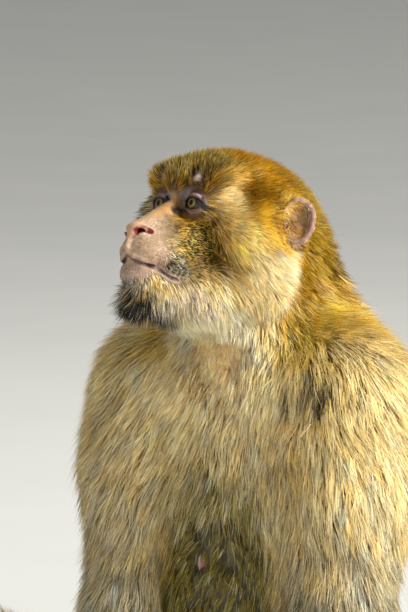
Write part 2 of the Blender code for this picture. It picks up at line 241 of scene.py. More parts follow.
def trunk_masses():
    return [
        BODY.ball(PELVIS / MM, (74, 72, 80), coat=16),
        BODY.ball((0, 14, 160), (72, 66, 92), coat=12, blend=40),
        BODY.ball(CHEST / MM, (70, 64, 100), coat=15, blend=40),
        BODY.ball((0, 24, 318), (72, 46, 46), coat=23, blend=40, tilt=-15),
        BODY.slab((0, 16, 18), (52, 44, 20), coat=2, blend=30),
        BODY.tube((0, 14, 338), (2, -2, 405), (44, 36), (22, 22), blend=40),
        BODY.tube((-2, -8, 344), (-4, -20, 388), (38, 34), (15, 14), blend=25),
        BODY.tube((0, 104, 84), (0, 124, 78), (7, 5), (9, 7), blend=14),
    ]


def arm_masses(side):
    shoulder, wrist, bend = mirrored(SHOULDER, side), mirrored(WRIST, side), elbow(side)
    above_wrist = bend.lerp(wrist, 0.30)
    return [
        Limb(shoulder, shoulder.lerp(bend, 0.35), (0.034, 0.032), (0.021, 0.020), 0.035),
        Limb(shoulder.lerp(bend, 0.3), bend, (0.031, 0.022), (0.020, 0.016), 0.02),
        Limb(bend, above_wrist, (0.022, 0.023), (0.016, 0.014), 0.02),
        Limb(above_wrist, wrist, (0.023, 0.014), (0.014, 0.006), 0.02),
    ]


def leg_masses(side):
    hip, ankle, bend = mirrored(HIP, side), mirrored(ANKLE, side), knee(side)
    calf = bend.lerp(ankle, 0.35)
    return [
        Limb(hip, bend, (0.052, 0.031), (0.014, 0.014), 0.03),
        Limb(bend, calf, (0.029, 0.028), (0.014, 0.012), 0.02),
        Limb(calf, ankle, (0.028, 0.016), (0.012, 0.006), 0.02),
    ]


def fingers():
    """Where each finger starts, bends and ends, in the hand's frame."""
    for number, length in enumerate((38, 44, 41, 32)):
        base_x = -15.5 + 10.5 * number
        spread = math.radians(-7 + 6 * number)
        tip = (base_x + length * math.sin(spread), -44 - length * math.cos(spread), 5)
        middle = [(a + b) / 2 for a, b in zip((base_x, -44, 10), tip)]
        middle[2] = 11
        yield (base_x, -40, 9), tuple(middle), tip


def toes():
    """Where each toe starts, bends and ends, in the foot's frame."""
    for number, length in enumerate((36, 41, 39, 33)):
        base_x = -14 + 10.5 * number
        base_y = -72 + 2.5 * number
        spread = math.radians(-4 + 5 * number)
        tip = (base_x + length * math.sin(spread), base_y - length * math.cos(spread), 6)
        middle = [(a + b) / 2 for a, b in zip((base_x, base_y, 10), tip)]
        middle[2] = 12
        yield (base_x, base_y + 6, 9), tuple(middle), tip


def hand_masses(side):
    hand = HANDS[side]
    masses = [
        hand.tube((0, 2, WRIST.z / MM), (0, -14, 15), (14, 12), (5, 3), blend=10),
        hand.slab((0, -26, 9), (22, 24, 12), coat=2, blend=14),
        hand.tube((-16, -8, 9), (-30, -24, 7), (9, 7), (1, 0), blend=8),
        hand.tube((-30, -24, 7), (-37, -36, 6), (7, 6), blend=3),
    ]
    for start, middle, tip in fingers():
        masses.append(hand.tube(start, middle, (6.8, 6.2), (0.6, 0.3), blend=3))
        masses.append(hand.tube(middle, tip, (6.2, 5.0), (0.3, 0), blend=3))
        masses.append(hand.ball(middle, (6.8, 5.0, 6.6), blend=2))
    return masses


def foot_masses(side):
    foot = FEET[side]
    masses = [
        foot.tube((0, 0, ANKLE.z / MM), (0, 14, 15), (16, 15), (6, 4), blend=10),
        foot.tube((0, 0, ANKLE.z / MM - 6), (1, -50, 12), (16, 15), (6, 3), blend=14),
        foot.slab((1, -38, 9), (22, 40, 12), coat=2, blend=14),
        foot.tube((-14, -22, 9), (-33, -52, 8), (10, 8), (1, 0), blend=8),
        foot.tube((-33, -52, 8), (-40, -66, 7), (8, 7), blend=3),
    ]
    for start, middle, tip in toes():
        masses.append(foot.tube(start, middle, (7.4, 6.8), (1, 0.3), blend=3))
        masses.append(foot.tube(middle, tip, (6.8, 5.8), (0.3, 0), blend=3))
        masses.append(foot.ball(middle, (7.4, 5.4, 7.2), blend=2))
    return masses


# ------------------------------------------------------------------- the head

EYE = (16.0, -60.0, 5.0)
EYE_RADIUS = 10.3
EAR = (49.0, -9.0, 4.0)
# The line of the mouth, and below it that of a nostril's slit, from the middle outwards.
MOUTH = (
    (0, -105, -36.5),
    (5, -101, -37.3),
    (10, -98, -38.8),
    (14, -93, -40),
    (18, -88, -41.5),
    (23, -83, -45),
    (26.5, -78.5, -46.3),
)
NOSTRIL = ((4.2, -102, -18.4), (6.2, -99.8, -18.0), (8.2, -97.4, -17.6), (10.4, -95, -17.2))


def head_masses():
    head = SKULL
    masses = [
        head.ball((0, -14, 10), (40, 43, 30), coat=9),
        head.ball((0, 12, -4), (34, 30, 24), coat=9, blend=16),
        head.ball((0, -36, 24), (30, 28, 15), coat=8, blend=12),
        head.ball((0, -44, -6), (32, 26, 25), coat=2, blend=14),
        head.ball((0, -72, -22), (22, 29, 17), coat=1, blend=12, tilt=26),
        head.ball((0, -86, -31), (20, 17, 10.5), coat=1, blend=7),
        head.ball((0, -82, -46), (17, 21, 8), coat=1.5, blend=4),
        head.tube((0, -64, 5), (0, -96, -17), (7.0, 6.5), (1, 0.5), blend=9),
        head.ball((0, -40, -38), (26, 36, 16), coat=8, blend=16),
        head.ball((0, -84, -57), (9, 14, 4.5), coat=9.5, blend=6, tilt=24),
        head.ball((0, -40, -54), (16, 28, 10), coat=12, blend=14),
    ]
    for side in SIDES:
        masses += [
            head.tube((0, -66, 16), (side * 25, -58, 15), (6.5, 6.0), (2, 3), blend=7),
            head.tube((side * 25, -58, 13), (side * 31, -46, -8), (5.5, 8), (3, 4), blend=8),
            head.ball((side * 20, -56, 24), (14, 11, 6), coat=8, blend=8),
            head.ball((side * 31, -26, -12), (15, 25, 22), coat=14, blend=10),
            head.tube((side * 9, -70, -47), (side * 28, -16, -36), (10, 14), (5, 14), blend=12),
        ]
    return masses


def nose_masses():
    head = SKULL
    masses = [
        head.ball((0, -101, -17.5), (6.4, 4.5, 4.0), blend=3),
        head.tube((0, -102, -19), (0, -105, -29), (1.2, 1.4), blend=3),
    ]
    for side in SIDES:
        masses.append(head.ball((side * 5.8, -98, -18.6), (3.8, 4.6, 3.8), blend=3, yaw=side * 20))
    return masses


def lip_masses():
    masses = []
    for side in SIDES:
        for gap, radius in ((2.6, 0.5), (-3.0, 0.7)):
            line = on_flesh([(x * side * 0.9, y, z + gap) for x, y, z in MOUTH[:4]])
            masses += SKULL.line(line, radius, blend=4)
    return masses


def face_masses():
    """The mouth, eyes, nose and ears."""
    head = SKULL
    lips = lip_masses()
    masses = nose_masses() + lips
    for side in SIDES:
        mouth = on_flesh([(x * side, y, z) for x, y, z in MOUTH], lips)
        nostril = on_flesh([(x * side, y, z) for x, y, z in NOSTRIL])
        masses += head.line(mouth, 0.8, blend=0.7, carve=True)
        masses += head.line(nostril[:3], 2.4, blend=0.7, carve=True)
        masses += head.line(nostril[2:], 1.1, blend=0.7, carve=True)
        masses.append(
            head.ball((side * 4.6, -98.6, -19), (2.4, 4.4, 2.4), blend=0.7, yaw=side * 25, carve=True)
        )
        masses += [
            head.ball((side * 18, -71, 4), (12, 8, 8.5), blend=9, carve=True),
            head.ball((side * EYE[0], EYE[1], EYE[2]), (11.7, 11.7, 11.7), blend=3),
            head.ball((side * 15.5, -72, 4.6), (8.8, 9, 3.9), blend=1.0, carve=True),
        ]
        masses += eye_folds(side)
        masses.append(head.ball((side * 59, -14, 4), (11, 10.5, 14.5), blend=6, carve=True))
        masses += ear_masses(side)
    return masses


def on_flesh(points, more=()):
    """Points of the head's frame moved straight out or in onto its plain flesh."""
    world = np.array([SKULL.point(*point) for point in points])
    moved = settled(world, [*head_masses(), *nose_masses(), *more], 6)
    return [tuple(point) for point in SKULL.local(moved)]


def lid_arc(side, rise, out, inner=-40, outer=54):
    """An arc over the eye, this many degrees above its middle and this far from its centre."""
    points = []
    for step in range(9):
        share = step / 4 - 1
        turn = math.radians(inner + (outer - inner) * step / 8)
        lift = math.radians(rise * math.sqrt(1.0 - share * share * 0.96) - 1 - share * 4)
        x, y, z = EYE
        x += out * math.sin(turn) * math.cos(lift)
        y -= out * math.cos(turn) * math.cos(lift)
        points.append((side * x, y, z + out * math.sin(lift)))
    return points


def eye_folds(side):
    """The lids' thick edges, the fold over the upper one and the creases under the lower one."""
    head = SKULL
    masses = head.line(lid_arc(side, 25, 11.5), 1.0, blend=1.4)
    masses += head.line(lid_arc(side, -24, 11.3), 0.9, blend=1.4)
    masses += head.line(lid_arc(side, 41, 13.2, -44, 62), 0.8, blend=1.5, carve=True)
    masses += head.line(lid_arc(side, -37, 12.6, -46, 60), 0.6, blend=1.3, carve=True)
    masses += head.line(lid_arc(side, -56, 14.4, -40, 58), 0.6, blend=1.3, carve=True)
    return masses


def ear_masses(side):
    """A thin cupped shell that leans back off the side of the head, with a rolled rim."""
    head = SKULL
    x, y, z = EAR
    tilt, yaw = -10, side * -30
    rim, across = [], Matrix.Rotation(math.radians(yaw), 3, "Z")
    for step in range(11):
        angle = math.radians(-60 + 24 * step)
        spot = across @ Vector((side * 2.6, math.cos(angle) * 10.0, math.sin(angle) * 13.6))
        rim.append((side * x + spot.x, y + spot.y, z + spot.z))
    return [
        head.ball((side * x, y, z), (9, 12, 16), blend=1, tilt=tilt, yaw=yaw),
        head.ball((side * (x + 5.5), y - 3.5, z), (9, 10, 13.5), blend=3, tilt=tilt, yaw=yaw, carve=True),
        *head.line(rim, 1.1, blend=1.6),
        head.ball((side * (x - 2), y - 8, z - 3), (5, 3, 4), blend=3, yaw=yaw),
        head.ball((side * (x - 3), y - 4, z - 2), (4, 3, 4), blend=2, yaw=yaw, carve=True),
    ]


def belly_masses():
    """Two long nipples close to the middle."""
    masses = []
    for x in (-9, 12):
        masses.append(BODY.ball((x, -63, 226), (3.2, 4, 5), blend=5))
        masses.append(BODY.tube((x, -65, 224), (x - 1, -68, 217), (1.8, 2.2), blend=2))
    return masses


# ------------------------------------------------------------- distance fields


def joined(field, distance, blend):
    """The smooth union of two distance fields."""
    near = np.maximum(blend - np.abs(field - distance), 0.0) / blend
    return np.minimum(field, distance) - near * near * blend / 4


def carved(field, distance, blend):
    return -joined(-field, distance, blend)


def sampled(masses, low, high, voxel, coated=False):
    """The masses' joint field on a grid. Each one is worked out only where it reaches."""
    axes = [np.arange(a, b + voxel, voxel) for a, b in zip(low, high)]
    field = np.full([len(axis) for axis in axes], FAR, np.float32)
    for mass in masses:
        window, places = [], []
        for axis, start, end in zip(axes, *mass.box(coated)):
            first, last = np.searchsorted(axis, (start, end))
            window.append(slice(first, last))
            places.append(axis[first:last])
        if not all(len(place) for place in places):
            continue
        grid = np.stack(np.meshgrid(*places, indexing="ij"), axis=-1)
        distance = mass.distance(grid.reshape(-1, 3), coated).reshape(grid.shape[:3])
        mix = carved if mass.carve else joined
        field[tuple(window)] = mix(field[tuple(window)], distance, mass.blend)
    return field


def field_at(points, masses):
    """The masses' joint field at some points."""
    field = np.full(len(points), FAR)
    for mass in masses:
        low, high = mass.box(False)
        near = np.nonzero(((points > low) & (points < high)).all(axis=1))[0]
        mix = carved if mass.carve else joined
        field[near] = mix(field[near], mass.distance(points[near], False), mass.blend)
    return field


def settled(points, masses, steps):
    """Points moved onto the masses' joint surface."""
    step = 0.15 * MM
    for _ in range(steps):
        here = field_at(points, masses)
        slope = np.zeros_like(points)
        for axis in range(3):
            shift = np.zeros(3)
            shift[axis] = step
            rise = field_at(points + shift, masses) - field_at(points - shift, masses)
            slope[:, axis] = rise / (2 * step)
        steep = np.maximum((slope**2).sum(axis=1), 0.25)
        move = np.clip(here / steep, -2 * MM, 2 * MM)
        points = points - move[:, None] * slope
    return points


class Grid:
    """Values on a regular grid, read smoothly between its points."""

    def __init__(self, low, voxel, values):
        self.low = np.array(low)
        self.voxel = voxel
        self.values = values

    def at(self, points):
        place = (points - self.low) / self.voxel
        size = np.array(self.values.shape[:3]) - 2
        base = np.clip(np.floor(place).astype(int), 0, size)
        part = np.clip(place - base, 0.0, 1.0)
        total = 0.0
        for corner in np.ndindex(2, 2, 2):
            share = np.prod(np.where(corner, part, 1.0 - part), axis=1)
            spot = base + corner
            total = total + share[:, None] * self.values[spot[:, 0], spot[:, 1], spot[:, 2]]
        return total


class Coating:
    """How high over the skin a point is, how deep the coat is there, and which way is out."""

    def __init__(self, masses, low, high, voxel):
        flesh = sampled(masses, low, high, voxel)
        coat = sampled(masses, low, high, voxel, coated=True)
        slopes = np.gradient(flesh.astype(float), voxel)
        self.grid = Grid(low, voxel, np.stack([flesh, coat, *slopes], axis=-1))

    def at(self, points):
        values = self.grid.at(points)
        out = unit(values[:, 2:5])
        height = values[:, 0]
        return height, np.maximum(height - values[:, 1], 0.0), out


def unit(vectors):
    length = np.linalg.norm(vectors, axis=-1, keepdims=True)
    return vectors / np.maximum(length, 1e-9)


def off_line(points, start, line):
    """How far each point is from the line that runs from this start."""
    along = np.clip((points - start) @ line / max(line @ line, 1e-12), 0.0, 1.0)
    return np.linalg.norm(points - start - along[:, None] * line, axis=1)


# ------------------------------------------------------------------- the skin


def delicate(point):
    """Whether this place is on the face or an ear, where the skin is finer."""
    x, y, z = SKULL.local(np.array(point)[None])[0]
    on_face = abs(x) < 33 and y < -47 and -52 < z < 23
    on_ear = abs(x) > 43 and -28 < y < 12 and -16 < z < 26
    return on_face or on_ear


def patch(masses, low, high, voxel, seams, fine=False):
    """The part of the skin between its seams, as points and triangles, open along them."""
    grid = openvdb.FloatGrid()
    grid.copyFromArray(sampled(masses, low, high, voxel).astype(np.float32))
    points, quads = grid.convertToQuads(isovalue=0.0)
    data = bpy.data.meshes.new("patch")
    data.from_pydata((np.array(low) + points * voxel).tolist(), [], quads.tolist())
    mesh = bmesh.new()
    mesh.from_mesh(data)
    bpy.data.meshes.remove(data)
    for point, normal in seams:
        bmesh.ops.bisect_plane(
            mesh,
            geom=mesh.verts[:] + mesh.edges[:] + mesh.faces[:],
            plane_co=point + normal * SEAM_GAP,
            plane_no=normal,
            clear_inner=True,
        )
    bmesh.ops.triangulate(mesh, faces=mesh.faces)
    if fine:
        inside = {vertex for vertex in mesh.verts if delicate(vertex.co)}
        edges = [edge for edge in mesh.edges if inside.issuperset(edge.verts)]
        bmesh.ops.subdivide_edges(mesh, edges=edges, cuts=1, use_grid_fill=True)
        bmesh.ops.triangulate(mesh, faces=mesh.faces)
    mesh.verts.index_update()
    corners = np.array([vertex.co[:] for vertex in mesh.verts])
    faces = np.array([[vertex.index for vertex in face.verts] for face in mesh.faces])
    if fine:
        chosen = np.array([delicate(vertex.co) for vertex in mesh.verts])
        corners[chosen] = settled(corners[chosen], masses, 3)
    mesh.free()
    return corners, faces


def rims(faces):
    """The open edges of a patch as loops of points, each in its faces' own direction."""
    edges = np.concatenate([faces[:, [0, 1]], faces[:, [1, 2]], faces[:, [2, 0]]])
    known = set(map(tuple, edges.tolist()))
    after = {a: b for a, b in known if (b, a) not in known}
    loops = []
    while after:
        start, here = next(iter(after.items()))
        del after[start]
        loop = [start]
        while here != start:
            loop.append(here)
            here = after.pop(here)
        loops.append(loop)
    return loops


def stitched(first, second, count):
    """Joins the nearest open loops of two patches with a band of triangles."""
    points = np.concatenate([first[0], second[0]])
    other = second[1] + len(first[0])
    band = []
    upper = sorted(rims(first[1]), key=len, reverse=True)
    lower = sorted(rims(other), key=len, reverse=True)
    for loop in upper[:count]:
        middle = points[loop].mean(axis=0)
        match = min(lower, key=lambda rim: np.linalg.norm(points[rim].mean(axis=0) - middle))
        lower.remove(match)
        match = match[::-1]
        start = int(np.argmin(np.linalg.norm(points[match] - points[loop[0]], axis=1)))
        match = match[start:] + match[:start]
        a, b = 0, 0
        while a < len(loop) or b < len(match):
            here, there = loop[a % len(loop)], match[b % len(match)]
            ahead, beyond = loop[(a + 1) % len(loop)], match[(b + 1) % len(match)]
            on_loop = np.linalg.norm(points[ahead] - points[there])
            on_match = np.linalg.norm(points[beyond] - points[here])
            if b >= len(match) or (a < len(loop) and on_loop <= on_match):
                band.append((ahead, here, there))
                a += 1
            else:
                band.append((there, beyond, here))
                b += 1
    return points, np.concatenate([first[1], other, np.array(band)])


def skin_shape():
    """The whole skin: a head, a body and the hands and feet, stitched along their seams."""
    masses = dressed_masses()
    head = patch(
        masses,
        (-0.085, -0.150, 0.335),
        (0.085, 0.055, 0.500),
        HEAD_VOXEL,
        [(NECK_SEAM, NECK_SEAM_NORMAL)],
        fine=True,
    )
    body = patch(
        masses,
        (-0.26, -0.26, 0.030),
        (0.26, 0.15, 0.440),
        BODY_VOXEL,
        [(NECK_SEAM, -NECK_SEAM_NORMAL), (LOW_SEAM, UP)],
    )
    low = patch(
        masses,
        (-0.20, -0.28, -0.010),
        (0.20, 0.15, 0.050),
        LOW_VOXEL,
        [(LOW_SEAM, -UP)],
    )
    low[0][:, 2] = np.maximum(low[0][:, 2], 0.0)
    upper = stitched(head, body, 1)
    return stitched(low, upper, len(rims(low[1])))


def dressed_masses():
    """All the flesh, with the forms that the solids leave out."""
    masses = trunk_masses()
    for side in SIDES:
        masses += arm_masses(side) + hand_masses(side)
        masses += leg_masses(side) + foot_masses(side)
    return masses + head_masses() + belly_masses() + face_masses()


# --------------------------------------------------------------- the markings

# What grows where: the colours of a hair's root and tip and of the skin under it, the
# share of dark and of pale hairs, the hair's length and width in millimetres, the hairs
# to a square centimetre, how far they rise to the coat's outline, how unevenly they are
# combed, and how much of the tip's colour a hair has at its bend.
PLAIN = {
    "root": (0.19, 0.13, 0.055),
    "tip": (0.76, 0.54, 0.19),
    "skin": (0.15, 0.105, 0.045),
    "dark": (0.10,),
    "pale": (0.12,),
    "hair": (30.0,),
    "width": (0.85,),
    "thick": (30.0,),
    "rise": (1.0,),
    "mess": (0.0,),
    "band": (0.62,),
}


class Brush:
    """A soft patch of marking, as a ball or as a stroke through points. Both sides, if asked."""

    def __init__(self, place, centre, radii, soft=0.25, both=True, **marks):
        if "root" in marks:
            marks.setdefault("skin", tuple(0.8 * value for value in marks["root"]))
        self.place, self.centre, self.radii = place, np.array(centre, float), radii
        self.soft, self.both, self.marks = soft, both, marks

    def spread(self, local):
        return np.linalg.norm((local - self.centre) / np.array(self.radii), axis=1)

    def weight(self, points, ripple):
        local = self.place.local(points)
        if self.both:
            local[:, 0] = np.abs(local[:, 0])
        spread = self.spread(local) + ripple * self.soft
        share = np.clip((1.0 + self.soft - spread) / (2 * self.soft), 0.0, 1.0)
        return share * share * (3.0 - 2.0 * share)


class Stroke(Brush):
    def spread(self, local):
        nearest = np.full(len(local), 1e9)
        for start, end in zip(self.centre, self.centre[1:]):
            nearest = np.minimum(nearest, off_line(local, start, end - start))
        return nearest / self.radii


# The gaps between the long locks over the left shoulder, with dark hair painted as their shade: place,
# half width and half height.
SHOULDER_SHADE_GAPS = (
    (61, -62, 350, 6.5, 24),
    (79, -59, 360, 5.2, 21),
    (70, -58, 340, 3.8, 16),
    (91, -50, 366, 4.6, 19),
    (101, -40, 370, 4.2, 17),
    (49, -64, 338, 3.8, 15),
)


def body_brushes():
    return [
        # The chest and belly, with finer hair.
        Brush(BODY, (0, -55, 295), (165, 105, 160), soft=0.15, width=0.44, thick=125, hair=25),
        # The back.
        Brush(BODY, (0, 95, 200), (130, 80, 200), root=(0.18, 0.12, 0.045), tip=(0.68, 0.49, 0.15),
              dark=0.12, soft=0.5),
        # The mantle.
        Brush(BODY, (0, 30, 365), (130, 90, 60), soft=0.5, root=(0.29, 0.195, 0.025),
              tip=(0.80, 0.56, 0.065), dark=0.10),
        # The upper arms.
        Brush(BODY, (95, -25, 305), (42, 70, 75), soft=0.45, root=(0.33, 0.255, 0.10),
              tip=(0.82, 0.64, 0.29), dark=0.05),
        # The forearms.
        Brush(BODY, (92, -60, 150), (60, 90, 120), soft=0.4, root=(0.21, 0.17, 0.09),
              tip=(0.62, 0.52, 0.29), pale=0.18, dark=0.06),
        # The breast.
        Brush(BODY, (0, -75, 295), (58, 55, 75), root=(0.27, 0.205, 0.09), tip=(0.86, 0.69, 0.335),
              hair=23, dark=0.14, pale=0.2),
        # The collar.
        Brush(BODY, (36, -66, 335), (32, 32, 42), root=(0.40, 0.30, 0.15), tip=(0.95, 0.75, 0.38),
              dark=0.03),
        # The belly, its dark hair partly its own colour and partly painted shade between the arms, and
        # its thin middle.
        Brush(BODY, (0, -70, 190), (48, 60, 95), root=(0.08, 0.06, 0.012), tip=(0.27, 0.21, 0.03)),
        Brush(BODY, (0, -75, 215), (36, 50, 55), thick=45, hair=14, skin=(0.13, 0.11, 0.08)),
        # The thighs.
        Brush(BODY, (130, -40, 80), (90, 150, 100), root=(0.19, 0.14, 0.06), tip=(0.64, 0.48, 0.19)),
        # The shins.
        Brush(BODY, (125, -150, 70), (55, 65, 62), root=(0.18, 0.14, 0.08), tip=(0.56, 0.46, 0.25),
              hair=20),
        # The nape.
        Brush(BODY, (0, 50, 405), (75, 60, 42), root=(0.18, 0.11, 0.016), tip=(0.64, 0.42, 0.055),
              dark=0.2),
        # The outside of the left forearm, darker on this side only as painted shade.
        Brush(BODY, (96, -60, 130), (60, 90, 110), soft=0.4, both=False, root=(0.12, 0.095, 0.055),
              tip=(0.36, 0.30, 0.17), dark=0.12),
        # The right side, more grizzled, its extra dark hairs painted shade.
        Brush(BODY, (-96, -50, 260), (52, 80, 165), both=False, dark=0.24, pale=0.34),
        # The gaps over the left shoulder, with dark hair as painted shade.
        *[
            Brush(BODY, (x, y, z), (width, 19, tall), soft=0.35, both=False, root=(0.03, 0.02, 0.008),
                  tip=(0.13, 0.085, 0.03), dark=0.7, pale=0.0)
            for x, y, z, width, tall in SHOULDER_SHADE_GAPS
        ],
        # The right nipple.
        Brush(BODY, (-9, -68, 221), (3.4, 8, 6.5), both=False, skin=(0.46, 0.20, 0.17), thick=0),
    ]


def limb_end_brushes():
    brushes = []
    for side in SIDES:
        hand, foot = HANDS[side], FEET[side]
        back = dict(hair=8, width=0.55, thick=44, both=False)
        back.update(root=(0.05, 0.038, 0.025), tip=(0.36, 0.29, 0.17), skin=(0.085, 0.062, 0.05))
        palm = dict(both=False, thick=0, skin=(0.05, 0.036, 0.03))
        brushes += [
            Brush(hand, (0, -20, 22), (42, 42, 34), **back),
            Brush(hand, (0, -66, 12), (48, 34, 20), **{**back, "thick": 22, "hair": 4}),
            Brush(hand, (-35, -32, 9), (16, 19, 15), **{**back, "thick": 20, "hair": 4}),
            Brush(hand, (0, -40, 0), (60, 70, 7), **palm),
            Brush(foot, (0, -30, 22), (46, 62, 34), **back),
            Brush(foot, (0, -98, 14), (50, 40, 20), **{**back, "thick": 22, "hair": 4}),
            Brush(foot, (-37, -60, 10), (17, 22, 16), **{**back, "thick": 20, "hair": 4}),
            Brush(foot, (0, -50, 0), (64, 100, 7), **palm),
        ]
    brushes.append(Brush(BODY, (0, 20, -6), (90, 90, 12), both=False, thick=0))
    return brushes


